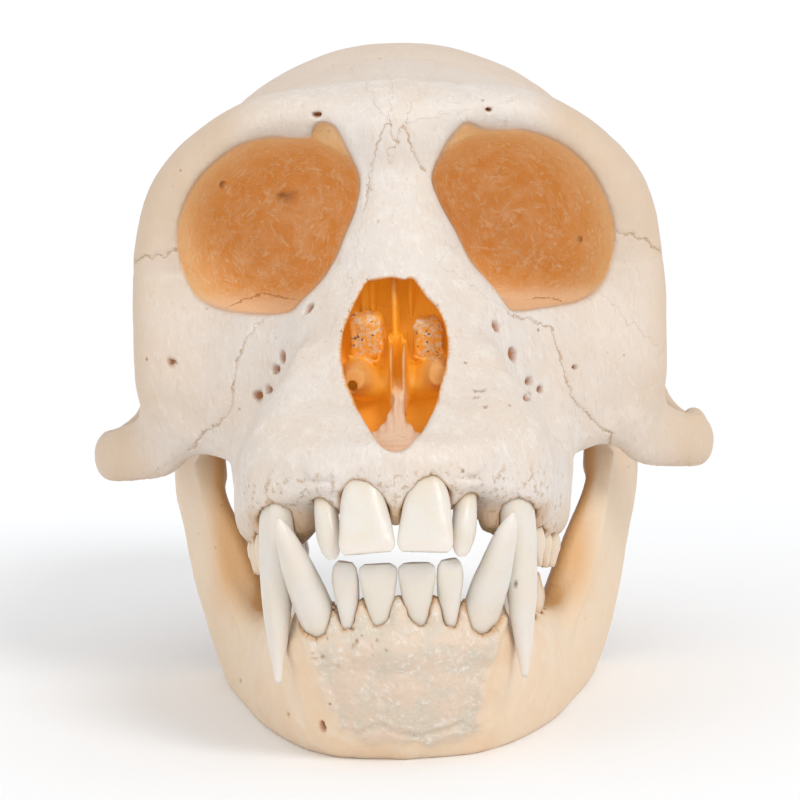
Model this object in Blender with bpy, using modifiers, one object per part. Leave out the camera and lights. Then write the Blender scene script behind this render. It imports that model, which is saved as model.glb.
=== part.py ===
"""Mona monkey skull: cranium, lower jaw and thirty-two teeth, standing on the lower jaw.

The skull rests as it does on a table: the lower jaw stands on its base, and the cranium lies on the
jaw's cheek teeth and condyles with its face tipped up a little. Every bone form is written in
millimetres: x to the right, y backwards from the front of the upper jaw, z up. FLOOR_Z is the table.
"""

import math

import bmesh
import bpy
import numpy as np
from mathutils import Matrix, Vector

# Driving dimensions, in millimetres
MM = 0.001
MIDDLE_Y = 47.36  # this far behind the front of the upper jaw lies the origin
FLOOR_Z = -0.6
CRANIUM_TIP_UP = math.radians(15.0)  # how far the face is tipped up from its anatomical level
BRAINCASE_HALF_WIDTH = 25.5
BRAINCASE_LENGTH = 65.0
BRAINCASE_HEIGHT = 45.6
BRAINCASE_MIDDLE = (0.0, 65.0, 46.9)
ARCH_HALF_WIDTH = 34.6  # over the cheek arches, the widest place
SOCKET_GAP = 0.3  # between a tooth and the wall of its socket
BITE_GAP = 0.18  # each row of cheek teeth stays this far from the plane of the bite
BITE_Z_AT_FRONT = 18.6  # height of the bite at the first premolar
BITE_Y_AT_FRONT = 12.0
BITE_SLOPE = -0.19  # the bite sinks towards the back
CROWN_HEIGHT = 4.4  # of the cheek teeth, cusps and all
CUSP_HEIGHT = 1.5
CHEEK_ROOT_LENGTH = 3.6

# Mesh fineness, in millimetres, triangles and sides
CRANIUM_VOXEL = 1.0
JAW_VOXEL = 0.8
CRANIUM_TRIANGLES = 1600
JAW_TRIANGLES = 660
FRONT_TOOTH_SIDES = 8
CHEEK_TOOTH_SIDES = 10

BONE = ("bone", (0.80, 0.71, 0.60), 0.55)
JAW_BONE = ("jaw_bone", (0.80, 0.66, 0.50), 0.55)
ENAMEL = ("enamel", (0.86, 0.82, 0.75), 0.25)

# The outline of an eye socket's rim, seen from the front: x and z
EYE_RIM = [
    (3.9, 57.4), (4.6, 59.6), (5.9, 61.8), (7.7, 63.2), (10.0, 62.9), (13.0, 62.3), (16.0, 61.6),
    (18.7, 60.1), (21.0, 57.8), (22.7, 54.8), (23.4, 51.4), (23.1, 47.8), (21.6, 45.2), (18.4, 43.6),
    (14.2, 43.1), (11.4, 43.7), (9.2, 45.9), (7.2, 48.7), (5.6, 51.8), (4.4, 54.8),
]

# Teeth with one root. Stations run from the root to the tip: x, y, z, then half the breadth along
# the row and half the depth across it. The first number is how far the row has turned there.
FRONT_TEETH = {
    "upper_incisor_1": (0, [
        (3.0, 4.6, 32.6, 1.5, 1.4), (3.1, 3.2, 31.2, 2.0, 1.8), (3.15, 1.9, 29.4, 2.35, 1.9),
        (3.2, 0.1, 27.2, 2.8, 1.6), (3.22, -1.5, 24.9, 2.95, 1.1), (3.22, -2.6, 23.2, 2.7, 0.4)]),
    "upper_incisor_2": (28, [
        (7.0, 6.4, 32.4, 0.9, 1.2), (7.15, 4.8, 30.6, 1.15, 1.5), (7.3, 3.3, 28.5, 1.35, 1.6),
        (7.5, 1.7, 26.4, 1.5, 1.45), (7.6, 0.5, 24.2, 1.45, 1.1), (7.6, 0.0, 22.3, 0.7, 0.4)]),
    "upper_canine": (72, [
        (11.2, 10.8, 33.5, 1.7, 1.3), (11.7, 8.6, 30.6, 2.5, 1.8), (12.0, 7.0, 27.4, 2.9, 2.0),
        (12.2, 6.2, 23.0, 2.6, 1.85), (12.4, 5.9, 18.0, 2.0, 1.5), (12.55, 6.1, 13.0, 1.2, 1.0),
        (12.6, 6.6, 8.4, 0.3, 0.3)]),
    "lower_incisor_1": (0, [
        (1.55, 7.0, 9.6, 0.8, 1.2), (1.7, 4.8, 12.8, 1.1, 1.5), (1.85, 3.2, 15.7, 1.35, 1.6),
        (2.0, 2.0, 18.2, 1.65, 1.35), (2.05, 1.2, 20.4, 1.8, 0.9), (2.05, 0.8, 21.9, 1.55, 0.35)]),
    "lower_incisor_2": (14, [
        (4.4, 7.4, 9.6, 0.8, 1.2), (4.65, 5.2, 12.6, 1.0, 1.5), (4.85, 3.7, 15.5, 1.15, 1.6),
        (5.2, 2.5, 18.2, 1.3, 1.35), (5.4, 1.7, 20.4, 1.35, 0.9), (5.45, 1.4, 21.8, 0.95, 0.35)]),
    "lower_canine": (40, [
        (7.0, 8.8, 8.4, 1.2, 1.3), (7.5, 6.4, 11.8, 1.7, 1.8), (8.1, 4.7, 15.0, 1.8, 1.9),
        (9.4, 3.1, 18.8, 1.75, 1.7), (10.6, 1.8, 22.4, 1.35, 1.25), (11.4, 1.1, 24.9, 0.85, 0.8),
        (11.8, 0.9, 26.4, 0.2, 0.2)]),
}

# Cheek teeth: x and y of the middle, length along the row, breadth across it, how far the row has
# turned there in degrees, and how many cross ridges the crown carries.
CHEEK_TEETH = {
    "upper_premolar_1": (12.7, 11.7, 4.1, 4.6, 86, 1),
    "upper_premolar_2": (13.1, 16.2, 4.3, 5.2, 88, 1),
    "upper_molar_1": (13.6, 21.8, 6.0, 5.7, 90, 2),
    "upper_molar_2": (13.7, 28.4, 6.5, 6.0, 90, 2),
    "upper_molar_3": (13.3, 35.0, 6.1, 5.6, 92, 2),
    "lower_premolar_1": (9.7, 10.1, 4.4, 3.2, 72, 1),
    "lower_premolar_2": (10.7, 14.7, 4.2, 4.0, 80, 1),
    "lower_molar_1": (11.6, 20.0, 5.8, 4.6, 84, 2),
    "lower_molar_2": (12.1, 26.4, 6.3, 5.2, 87, 2),
    "lower_molar_3": (12.5, 33.0, 6.4, 5.0, 87, 2),
}

RIGHT = Vector((1, 0, 0))
BACKWARDS = Vector((0, 1, 0))
UP = Vector((0, 0, 1))


def place(point):
    """A point in the skull's millimetres as metres in the part's own frame."""
    return Vector((point[0], point[1] - MIDDLE_Y, point[2] - FLOOR_Z)) * MM


# Forms that a bone is gathered from

def add_ellipsoid(bm, centre, radii, tilt=0.0, turn=0.0, segments=28):
    """A ball stretched to radii, tipped about x, then turned about z, on both sides if off the middle."""
    for side in (1, -1) if centre[0] else (1,):
        middle = Vector((centre[0] * side, centre[1], centre[2]))
        matrix = (
            Matrix.Translation(middle)
            @ Matrix.Rotation(turn * side, 4, "Z")
            @ Matrix.Rotation(tilt, 4, "X")
            @ Matrix.Diagonal((*radii, 1.0))
        )
        bmesh.ops.create_uvsphere(
            bm, u_segments=segments, v_segments=segments // 2, radius=1.0, matrix=matrix
        )


def oval(centre, side, up, half_width, half_height, sides=16, squareness=2.0, taper=0.0):
    """A closed ring of points round centre.

    Squareness 2 is an ellipse, and more has fuller corners. Taper narrows the top and widens the foot.
    """
    points = []
    for step in range(sides):
        angle = 2 * math.pi * (step + 0.5) / sides
        across, along = math.cos(angle), math.sin(angle)
        reach = (abs(across) ** squareness + abs(along) ** squareness) ** (-1 / squareness)
        width = half_width * (1 - taper * along * reach)
        points.append(centre + side * (across * reach * width) + up * (along * reach * half_height))
    return points


def add_loft(bm, rings, last_middle=None):
    """Skins rings of equal count, and closes each end on its middle point."""
    rows = [[bm.verts.new(point) for point in ring] for ring in rings]
    count = len(rows[0])
    for lower, upper in zip(rows, rows[1:]):
        for i in range(count):
            j = (i + 1) % count
            bm.faces.new((lower[i], lower[j], upper[j], upper[i]))
    for row, middle in ((rows[0], None), (rows[-1], last_middle)):
        if middle is None:
            middle = sum((vertex.co for vertex in row), Vector()) / count
        tip = bm.verts.new(middle)
        for i in range(count):
            bm.faces.new((row[i], row[(i + 1) % count], tip))


def smooth_path(points, steps):
    """Points of a Catmull-Rom curve through the given ones, whatever numbers each of them holds."""
    knots = [np.array(p, float) for p in points]
    knots = [2 * knots[0] - knots[1]] + knots + [2 * knots[-1] - knots[-2]]
    found = []
    for a, b, c, d in zip(knots, knots[1:], knots[2:], knots[3:]):
        for t in np.linspace(0, 1, steps, endpoint=False):
            found.append(
                0.5 * (2 * b + (c - a) * t + (2 * a - 5 * b + 4 * c - d) * t**2
                       + (3 * b - a - 3 * c + d) * t**3)
            )
    return found + [knots[-2]]


def add_band(bm, stations, height_runs=UP, sides=16, steps=4, mirrored=True, squareness=2.0):
    """A rod whose section changes: each station is x, y, z, half thickness, half height."""
    for flip in (1, -1) if mirrored else (1,):
        path = smooth_path(stations, steps)
        middles = [Vector((p[0] * flip, p[1], p[2])) for p in path]
        rings = []
        for i, p in enumerate(path):
            ahead = middles[min(i + 1, len(path) - 1)] - middles[max(i - 1, 0)]
            side = ahead.cross(height_runs).normalized()
            up = side.cross(ahead).normalized()
            rings.append(oval(middles[i], side, up, p[3], p[4], sides, squareness))
        add_loft(bm, rings)


def add_upright_plate(bm, levels, steps=4, sides=20):
    """A standing plate: each level is z, front x and y, back x and y, half thickness."""
    for flip in (1, -1):
        rings = []
        for z, front_x, front_y, back_x, back_y, half in smooth_path(levels, steps):
            front = Vector((front_x * flip, front_y, z))
            back = Vector((back_x * flip, back_y, z))
            along = (back - front).normalized()
            across = along.cross(UP)
            rings.append(
                oval((front + back) / 2, across, along, half, (back - front).length / 2, sides, 2.6)
            )
        add_loft(bm, rings)


# Objects, materials and modifiers

def clear_scene():
    for obj in list(bpy.data.objects):
        bpy.data.objects.remove(obj)


def new_collection(name, shown=False):
    collection = bpy.data.collections.new(name)
    bpy.context.scene.collection.children.link(collection)
    collection.hide_render = not shown
    return collection


def material(recipe):
    name, colour, roughness = recipe
    found = bpy.data.materials.get(name)
    if found:
        return found
    made = bpy.data.materials.new(name)
    made.use_nodes = True
    shader = made.node_tree.nodes["Principled BSDF"]
    shader.inputs["Base Color"].default_value = (*colour, 1.0)
    shader.inputs["Roughness"].default_value = roughness
    shader.inputs["Metallic"].default_value = 0.0
    return made


def object_from(bm, name, collection, recipe=None):
    """Turns a bmesh in skull millimetres into an object in metres, with its faces pointing out."""
    bmesh.ops.recalc_face_normals(bm, faces=bm.faces)
    for vertex in bm.verts:
        vertex.co = place(vertex.co)
    mesh = bpy.data.meshes.new(name)
    bm.to_mesh(mesh)
    bm.free()
    obj = bpy.data.objects.new(name, mesh)
    collection.objects.link(obj)
    if recipe:
        mesh.materials.append(material(recipe))
        mesh.shade_smooth()
        mesh.set_sharp_from_angle(angle=math.radians(50))
    else:
        obj.hide_render = True
        obj.display_type = "WIRE"
    return obj


def fuse(obj, voxel, smoothing):
    """Joins overlapping forms into one skin and softens where they meet."""
    remesh = obj.modifiers.new("fuse", "REMESH")
    remesh.mode = "VOXEL"
    remesh.voxel_size = voxel * MM
    remesh.use_smooth_shade = True
    smooth = obj.modifiers.new("soften", "SMOOTH")
    smooth.factor = 0.5
    smooth.iterations = smoothing


def thin_out(obj, triangles):
    """Brings the skin down to about this many triangles."""
    graph = bpy.context.evaluated_depsgraph_get()
    mesh = obj.evaluated_get(graph).to_mesh()
    mesh.calc_loop_triangles()
    now = len(mesh.loop_triangles)
    obj.evaluated_get(graph).to_mesh_clear()
    decimate = obj.modifiers.new("thin out", "DECIMATE")
    decimate.ratio = min(1.0, triangles / now)
    decimate.use_collapse_triangulate = True


def cut(obj, name, cutters):
    boolean = obj.modifiers.new(name, "BOOLEAN")
    boolean.operation = "DIFFERENCE"
    boolean.operand_type = "COLLECTION"
    boolean.collection = cutters
    boolean.solver = "EXACT"
    boolean.use_self = True


# Cranium

def add_muzzle(bm):
    """The snout from the front teeth back to the nose's root, broad at the gums and narrow on top."""
    # Each station is y, foot z, top z, half width at the foot and half width on top
    stations = [(1.4, 29.4, 31, 5.6, 5), (4.6, 28.8, 33.6, 9.4, 8), (9, 27, 38.2, 12.6, 8.4),
                (14, 24.6, 43.8, 14.4, 8), (19.5, 22.6, 49.6, 16, 7), (25, 21.4, 57.4, 17, 6),
                (31, 20.6, 60, 17, 6), (38, 20, 54, 15.6, 8)]
    rings = []
    for y, foot, top, wide, narrow in smooth_path(stations, 3):
        middle = Vector((0, y, (foot + top) / 2))
        half_width = (wide + narrow) / 2
        rings.append(
            oval(middle, RIGHT, UP, half_width, (top - foot) / 2, 24, 2.5, (wide - narrow) / 2 / half_width)
        )
    add_loft(bm, rings)


def cranium_masses(bm):
    """The braincase, face, cheek arches and skull base, as overlapping forms."""
    braincase = (BRAINCASE_HALF_WIDTH, BRAINCASE_LENGTH / 2, BRAINCASE_HEIGHT / 2)
    tip = -CRANIUM_TIP_UP
    add_ellipsoid(bm, BRAINCASE_MIDDLE, braincase, tip, segments=40)
    add_ellipsoid(bm, (0, 44.5, 54), (20.8, 17.4, 14.3), tip)  # forehead
    add_ellipsoid(bm, (0, 83, 38), (20, 14, 13.6), tip)  # back of the head
    add_ellipsoid(bm, (13.8, 42, 52.4), (12.4, 11, 11.8), turn=-0.3)  # eye cups
    add_ellipsoid(bm, (0, 36, 47), (9, 8, 18))  # behind the nose
    add_muzzle(bm)
    brow = [(0, 30.8, 63.4, 3.2, 4.6), (7, 31.2, 64.9, 2.4, 4.4), (13, 32.6, 64.5, 2.3, 4.4),
            (17.4, 33.8, 62.7, 2.3, 3.8), (21, 34.6, 59.8, 2.2, 2.8), (24.1, 36.2, 56, 2.1, 2.8),
            (25.8, 37.2, 51, 2.2, 2.8), (26, 37.4, 46, 2.7, 2.8), (25.3, 37, 41, 3, 3),
            (24.7, 36.6, 36.5, 3.2, 3)]
    add_band(bm, brow, height_runs=BACKWARDS)
    cheek = [(6, 24, 41, 4, 6), (11, 28, 37.6, 4, 8.4), (16, 31.6, 35.8, 3.8, 8.6),
             (20.5, 34.8, 35.8, 3.4, 8), (24.6, 37.4, 36, 2.8, 8)]
    add_band(bm, cheek)
    arch = [(24.6, 37.2, 33, 2.9, 5.6), (26.9, 40, 28.6, 2.1, 3.8),
            (ARCH_HALF_WIDTH - 3.2, 44.4, 26.6, 1.8, 2.9), (ARCH_HALF_WIDTH - 1.8, 48.8, 26.1, 1.8, 2.8),
            (31.3, 53.6, 26, 1.8, 2.7), (28.8, 58.6, 27.8, 1.9, 2.6), (26.6, 63.6, 32.4, 2.3, 2.7),
            (23.5, 69, 36, 3.4, 3)]
    add_band(bm, arch)
    gum = [(0, 3.9, 31.1, 4.7, 2.9), (5.5, 4.7, 31, 4.7, 3.1), (10, 8.1, 30, 4.6, 4.2),
           (12.4, 14, 27.6, 3.9, 5.2), (13.4, 21, 26.2, 4.1, 5), (13.6, 28, 24.8, 4.2, 4.9),
           (13, 37.8, 23.2, 3.8, 4.8)]
    add_band(bm, gum, squareness=3.4)
    add_ellipsoid(bm, (11.8, 8.6, 32), (2.5, 3, 6), tilt=-0.5)  # root of the long canine
    add_ellipsoid(bm, (15.6, 30.5, 29), (3.6, 5, 7), turn=0.3)  # foot of the cheek
    add_ellipsoid(bm, (22.2, 64.5, 35.6), (6.6, 7, 4.2))  # over the jaw joint
    add_ellipsoid(bm, (21, 74.5, 31), (6, 6.6, 6))  # behind the ear
    add_ellipsoid(bm, (10, 64, 27.5), (5, 8.5, 4))  # ear capsule
    crest = [(24, 70, 37, 1.8, 1.8), (23, 78, 37, 1.8, 1.6), (17, 88.6, 37.2, 1.8, 1.6),
             (8, 94.6, 38, 1.8, 1.6), (0, 96, 38.6, 1.8, 1.8)]
    add_band(bm, crest)  # where the neck muscles held
    base = [(0, 40, 37, 5, 4), (0, 50, 34.6, 6, 4.5), (0, 62, 29.6, 8, 4), (0, 71, 25.4, 7, 3)]
    add_band(bm, base, mirrored=False)
    add_ellipsoid(bm, (6.6, 73.5, 22.6), (2.6, 4.8, 2.8))  # knobs beside the spinal opening
    wing = [(21, 7.6, 40.5, 8.6, 44.5, 1.3), (26, 7.8, 40, 8.8, 47, 1.5), (32, 8, 39, 9.4, 50, 2.2),
            (38, 9, 38, 10.4, 53, 3)]
    add_upright_plate(bm, wing)  # behind the palate


def eye_socket_cutters(cutters):
    """Bowls that narrow from the rim to the back of the eye socket."""
    middle = (14.2, 53.4)
    back = (11.4, 52.0)
    depths = [(10, 1.1), (32, 1.0), (37.5, 0.95), (42, 0.82), (45.5, 0.62), (47.6, 0.34)]
    for flip in (1, -1):
        bm = bmesh.new()
        rings = []
        for y, size in depths:
            drift = max(0.0, (y - 34) / (depths[-1][0] - 34))
            x_now = middle[0] + (back[0] - middle[0]) * drift
            z_now = middle[1] + (back[1] - middle[1]) * drift
            rings.append([
                Vector(((x_now + (x - middle[0]) * size) * flip, y, z_now + (z - middle[1]) * size))
                for x, z in EYE_RIM
            ])
        add_loft(bm, rings)
        object_from(bm, f"eye_socket_cutter_{'right' if flip > 0 else 'left'}", cutters)


def nose_cutters(cutters):
    """The pear-shaped opening, and behind it a chamber on each side of the thin middle wall."""
    bm = bmesh.new()
    opening = [(-4, 38, 4, 5), (6, 39.6, 5.1, 7), (12, 40.4, 5.4, 7.8), (17, 41, 5.4, 7.8)]
    add_loft(bm, [oval(Vector((0, y, z)), RIGHT, UP, w, h, 14) for y, z, w, h in opening])
    object_from(bm, "nose_opening_cutter", cutters)
    chamber = [(12, 2.9, 39, 2.3, 5.4), (18, 2.9, 40, 2.4, 6.6), (26, 3, 40, 2.5, 8.4),
               (34, 3.1, 36, 2.5, 5.4), (42, 3.1, 31.4, 2.5, 3.2), (52, 3.1, 27.6, 2.5, 3)]
    for flip in (1, -1):
        bm = bmesh.new()
        rings = [
            oval(Vector((x * flip, y, z)), RIGHT, UP, w, h, 12, 3.0) for y, x, z, w, h in chamber
        ]
        add_loft(bm, rings)
        object_from(bm, f"nose_chamber_cutter_{'right' if flip > 0 else 'left'}", cutters)


def braincase_cutter(cutters):
    """The hollow of the braincase, behind the eye sockets."""
    bm = bmesh.new()
    add_ellipsoid(bm, (0, 71.5, 46), (22.6, 20.5, 19.4), -CRANIUM_TIP_UP, segments=16)
    object_from(bm, "braincase_cutter", cutters)


def spinal_opening_cutter(cutters):
    bm = bmesh.new()
    lower, upper = Vector((0, 81, 12)), Vector((0, 77, 34))
    along = (upper - lower).normalized()
    back = along.cross(RIGHT)
    add_loft(bm, [oval(middle, RIGHT, back, 5.6, 6.4, 14) for middle in (lower, upper)])
    object_from(bm, "spinal_opening_cutter", cutters)


def palate_cutter(cutters):
    bm = bmesh.new()
    add_ellipsoid(bm, (0, 26, 21), (9.2, 19, 6.6), -0.17, segments=16)
    object_from(bm, "palate_cutter", cutters)


def build_cranium(parts, sockets):
    bm = bmesh.new()
    cranium_masses(bm)
    cranium = object_from(bm, "cranium", parts, BONE)
    fuse(cranium, CRANIUM_VOXEL, 5)
    thin_out(cranium, CRANIUM_TRIANGLES)
    hollows = new_collection("hollows")
    eye_socket_cutters(hollows)
    nose_cutters(hollows)
    braincase_cutter(hollows)
    spinal_opening_cutter(hollows)
    palate_cutter(hollows)
    cut(cranium, "hollows", hollows)
    cut(cranium, "tooth sockets", sockets)


# Lower jaw

def jaw_masses(bm):
    """The body of the jaw, and on each side the branch, blade and knob behind it."""
    # Each station is the top edge's x, y, z, the base's x, y, z, then half the thickness
    body = [(0, 3.8, 14.6, 0, 14, -1.6, 3.8), (4.6, 4.6, 14.6, 4, 14.6, -1.6, 3.8),
            (7.9, 7.2, 14.4, 7.6, 17, -1.6, 3.6), (9.8, 11, 14.2, 10.2, 21, -1.6, 3.4),
            (10.9, 16, 13.4, 12.4, 26, -1.6, 3.4), (11.9, 23, 12.2, 14.2, 31, -1.6, 3.4),
            (12.8, 31, 10.8, 15.8, 37.5, -1.6, 3.4), (15.4, 38, 9.2, 17, 44, -1.5, 3.1),
            (18.2, 45, 8, 17.8, 51, -1.2, 2.4)]
    for flip in (1, -1):
        path = smooth_path(body, 4)
        tops = [Vector((p[0] * flip, p[1], p[2])) for p in path]
        feet = [Vector((p[3] * flip, p[4], p[5])) for p in path]
        rings = []
        for i, p in enumerate(path):
            before, after = max(i - 1, 0), min(i + 1, len(path) - 1)
            ahead = tops[after] + feet[after] - tops[before] - feet[before]
            if i == 0:
                ahead = RIGHT * flip
            up = (tops[i] - feet[i]).normalized()
            out = up.cross(ahead).normalized()
            reach = (tops[i] - feet[i]).length / 2
            rings.append(oval((tops[i] + feet[i]) / 2, out, up, p[6], reach, 16, 2.8))
        add_loft(bm, rings)
    add_ellipsoid(bm, (7.2, 6.6, 10.5), (2.9, 2.9, 5), tilt=0.5)  # root of the lower canine
    # Each level is a height, the front edge's x and y, the back edge's x and y, and half the thickness
    branch = [(-1, 16.6, 44, 19.4, 55, 1.6), (2, 16, 39.5, 20.9, 57.8, 2.2),
              (8, 15.6, 37.6, 22.9, 60.5, 2.6), (15, 17.2, 39.4, 24.7, 62.5, 2.3),
              (21, 19.6, 42.4, 26.1, 63.8, 1.8), (25, 20.6, 44.6, 25, 64.5, 1.6),
              (27, 20.9, 45.6, 24.2, 64.6, 1.4)]
    add_upright_plate(bm, branch)
    blade = [(24, 20.2, 44.4, 22.4, 54, 1.6), (29, 21, 46.4, 22.4, 53, 1.5),
             (33, 21.6, 48.6, 22.4, 53, 1.2), (35, 22, 50.4, 22.2, 52.8, 0.9)]
    add_upright_plate(bm, blade)
    knob = [(22, 23.4, 57.6, 24.3, 64.2, 1.9), (26, 23, 58.4, 23.6, 64.4, 2.2),
            (28.4, 22.2, 59.2, 22.6, 64, 3)]
    add_upright_plate(bm, knob)
    add_ellipsoid(bm, (21.7, 61.9, 28.5), (4.3, 2.6, 2.3), turn=0.15)


def base_cutter(cutters):
    """Levels the underside of the jaw where it stands on the table."""
    bm = bmesh.new()
    depth = 10
    block = Matrix.Translation((0, MIDDLE_Y, FLOOR_Z - depth / 2)) @ Matrix.Diagonal((80, 120, depth, 1))
    bmesh.ops.create_cube(bm, size=1, matrix=block)
    object_from(bm, "base_cutter", cutters)


def build_lower_jaw(parts, sockets):
    bm = bmesh.new()
    jaw_masses(bm)
    jaw = object_from(bm, "lower_jaw", parts, JAW_BONE)
    fuse(jaw, JAW_VOXEL, 3)
    thin_out(jaw, JAW_TRIANGLES)
    under = new_collection("under")
    base_cutter(under)
    cut(jaw, "level base", under)
    cut(jaw, "tooth sockets", sockets)


# Teeth

def front_tooth(stations, turn, flip, grow=0.0):
    """An incisor or a canine: ovals along its root and crown, each fattened and lengthened by grow."""
    along_row = Vector((math.cos(turn) * flip, math.sin(turn), 0))
    middles = [Vector((x * flip, y, z)) for x, y, z, _, _ in stations]
    root_way = (middles[0] - middles[1]).normalized()
    middles[0] = middles[0] + root_way * grow
    rings = []
    for i, station in enumerate(stations):
        ahead = (middles[min(i + 1, len(middles) - 1)] - middles[max(i - 1, 0)]).normalized()
        across = ahead.cross(along_row).normalized()
        row = across.cross(ahead).normalized()
        rings.append(
            oval(middles[i], row, across, station[3] + grow, station[4] + grow, FRONT_TOOTH_SIDES)
        )
    return rings


def crown_relief(across, along, ridges):
    """How high the chewing face stands: 0 in its valleys and 1 on its cusps; across and along reach 1."""
    if ridges == 1:
        crest = math.exp(-((along / 0.55) ** 2))
    else:
        crest = math.exp(-(((abs(along) - 0.5) / 0.28) ** 2))
    return crest * (0.62 + 0.38 * min(1.0, abs(across) * 1.5))


def cheek_tooth(name, flip, grow=0.0):
    """A premolar or a molar: a waisted root, a swelling crown, and cusps joined by cross ridges."""
    x, y, length, breadth, turn, ridges = CHEEK_TEETH[name]
    turn = math.radians(turn)
    way = 1 if name.startswith("lower") else -1
    row = Vector((math.cos(turn) * flip, math.sin(turn), 0))
    across = Vector((-math.sin(turn), math.cos(turn) * flip, 0))
    bite = BITE_Z_AT_FRONT + BITE_SLOPE * (y - BITE_Y_AT_FRONT) - way * BITE_GAP
    neck = Vector((x * flip, y, bite - way * CROWN_HEIGHT))
    up = Vector((0, 0, way))
    # Each level is a height over the neck and a share of the full section
    levels = [(-CHEEK_ROOT_LENGTH - grow, 0.6), (-0.2, 0.85), (1.6, 1.0), (CROWN_HEIGHT - CUSP_HEIGHT, 0.9)]

    def ring(height, share, relief=0.0):
        points = []
        for step in range(CHEEK_TOOTH_SIDES):
            angle = 2 * math.pi * (step + 0.5) / CHEEK_TOOTH_SIDES
            u, v = math.cos(angle), math.sin(angle)
            reach = (abs(u) ** 3.4 + abs(v) ** 3.4) ** (-1 / 3.4)
            rise = relief * crown_relief(u * reach * share, v * reach * share, ridges)
            rise += BITE_SLOPE * v * reach * share * length / 2 * way * (1 if height > 0 else 0)
            points.append(
                neck + across * (u * reach * (breadth / 2 * share + grow))
                + row * (v * reach * (length / 2 * share + grow)) + up * (height + rise)
            )
        return points

    rings = [ring(height, share) for height, share in levels]
    face = CROWN_HEIGHT - CUSP_HEIGHT
    rings.append(ring(face, 0.78, CUSP_HEIGHT))
    rings.append(ring(face, 0.4, CUSP_HEIGHT * 0.9))
    middle_rise = CUSP_HEIGHT * crown_relief(0, 0, ridges)
    return rings, neck + up * (face + middle_rise)


def build_teeth(parts, upper_sockets, lower_sockets):
    """Every tooth as a solid of its own, and a slightly fatter copy to cut its socket."""
    for name in [*FRONT_TEETH, *CHEEK_TEETH]:
        sockets = upper_sockets if name.startswith("upper") else lower_sockets
        for flip, side in ((1, "right"), (-1, "left")):
            for grow in (0.0, SOCKET_GAP):
                if name in FRONT_TEETH:
                    turn, stations = FRONT_TEETH[name]
                    rings, last = front_tooth(stations, math.radians(turn), flip, grow), None
                else:
                    rings, last = cheek_tooth(name, flip, grow)
                bm = bmesh.new()
                add_loft(bm, rings, last)
                if grow:
                    object_from(bm, f"{name}_{side}_socket", sockets)
                else:
                    object_from(bm, f"{name}_{side}", parts, ENAMEL)


def main():
    clear_scene()
    parts = new_collection("mona_monkey_skull", shown=True)
    upper_sockets = new_collection("upper_sockets")
    lower_sockets = new_collection("lower_sockets")
    build_teeth(parts, upper_sockets, lower_sockets)
    build_cranium(parts, upper_sockets)
    build_lower_jaw(parts, lower_sockets)


main()
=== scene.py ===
"""Mona monkey skull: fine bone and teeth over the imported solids, with floor, light and camera.

Every form is written in the skull's own millimetres: x to the right, y backwards from the front of
the upper jaw, z up. Bone is gathered as a field that is below zero inside, then skinned, carved
along its sutures and pierced by its small openings. SKULL_TO_FRAME takes it to the frame's metres.
"""

import math

import bmesh
import bpy
import numpy as np
from mathutils import Matrix, Quaternion, Vector


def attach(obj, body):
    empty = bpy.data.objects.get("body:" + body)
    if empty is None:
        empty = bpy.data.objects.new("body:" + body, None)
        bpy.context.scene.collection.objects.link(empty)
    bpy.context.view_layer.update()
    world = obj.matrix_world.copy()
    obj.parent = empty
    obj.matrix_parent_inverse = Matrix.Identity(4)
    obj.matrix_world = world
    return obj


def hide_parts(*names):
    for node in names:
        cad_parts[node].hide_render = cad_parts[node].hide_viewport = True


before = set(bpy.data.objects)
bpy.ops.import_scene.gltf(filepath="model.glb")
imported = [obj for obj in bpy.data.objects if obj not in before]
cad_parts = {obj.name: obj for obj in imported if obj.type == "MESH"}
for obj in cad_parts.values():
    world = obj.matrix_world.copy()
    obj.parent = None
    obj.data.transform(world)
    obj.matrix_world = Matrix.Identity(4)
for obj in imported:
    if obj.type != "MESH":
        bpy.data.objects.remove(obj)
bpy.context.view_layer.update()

# Where the skull's millimetres lie in the frame
MM = 0.001
MIDDLE_Y = 47.36
FLOOR_Z = -0.6
SKULL_TO_FRAME = Matrix.Scale(MM, 4) @ Matrix.Translation((0, -MIDDLE_Y, -FLOOR_Z))

# Fineness, in millimetres
CRANIUM_STEP = 0.38
JAW_STEP = 0.36
CRANIUM_TRIANGLES = 110000
BACK_SHARE = 0.3  # of the cranium's triangles are kept where they are seldom seen
JAW_TRIANGLES = 110000
NOSE_STEP = 0.17
NOSE_TRIANGLES = 36000
FAR = 20.0  # the field's value where no form reaches
CHAIN_MARGIN = 3.2  # how far beyond each ball of a chain its distance is worked out

CRANIUM_TIP_UP = math.radians(15.0)
TOOTH_GAP = 0.03  # between a tooth and its socket

UP = np.array((0.0, 0.0, 1.0))
BACKWARDS = np.array((0.0, 1.0, 0.0))
RIGHT = np.array((1.0, 0.0, 0.0))
SIDES = {"right": 1, "left": -1}

# The photographer's place: aimed at the face from in front, a little above and to the right
AIM = np.array((-0.1, 30.0, 34.0))
CAMERA_DISTANCE = 450.0
CAMERA_TURN = math.radians(0.7)
CAMERA_RISE = math.radians(8.0)
CAMERA_ROLL = math.radians(-1.6)
LOOK = np.array((
    -math.sin(CAMERA_TURN) * math.cos(CAMERA_RISE),
    math.cos(CAMERA_TURN) * math.cos(CAMERA_RISE),
    -math.sin(CAMERA_RISE),
))
SIGHT_RIGHT = np.array((math.cos(CAMERA_TURN), math.sin(CAMERA_TURN), 0.0))
SIGHT_UP = np.cross(SIGHT_RIGHT, LOOK)

# The snout of this skull leans a little to its own right
LEAN = 0.5
LEAN_FROM_Y = 28.0

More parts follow.
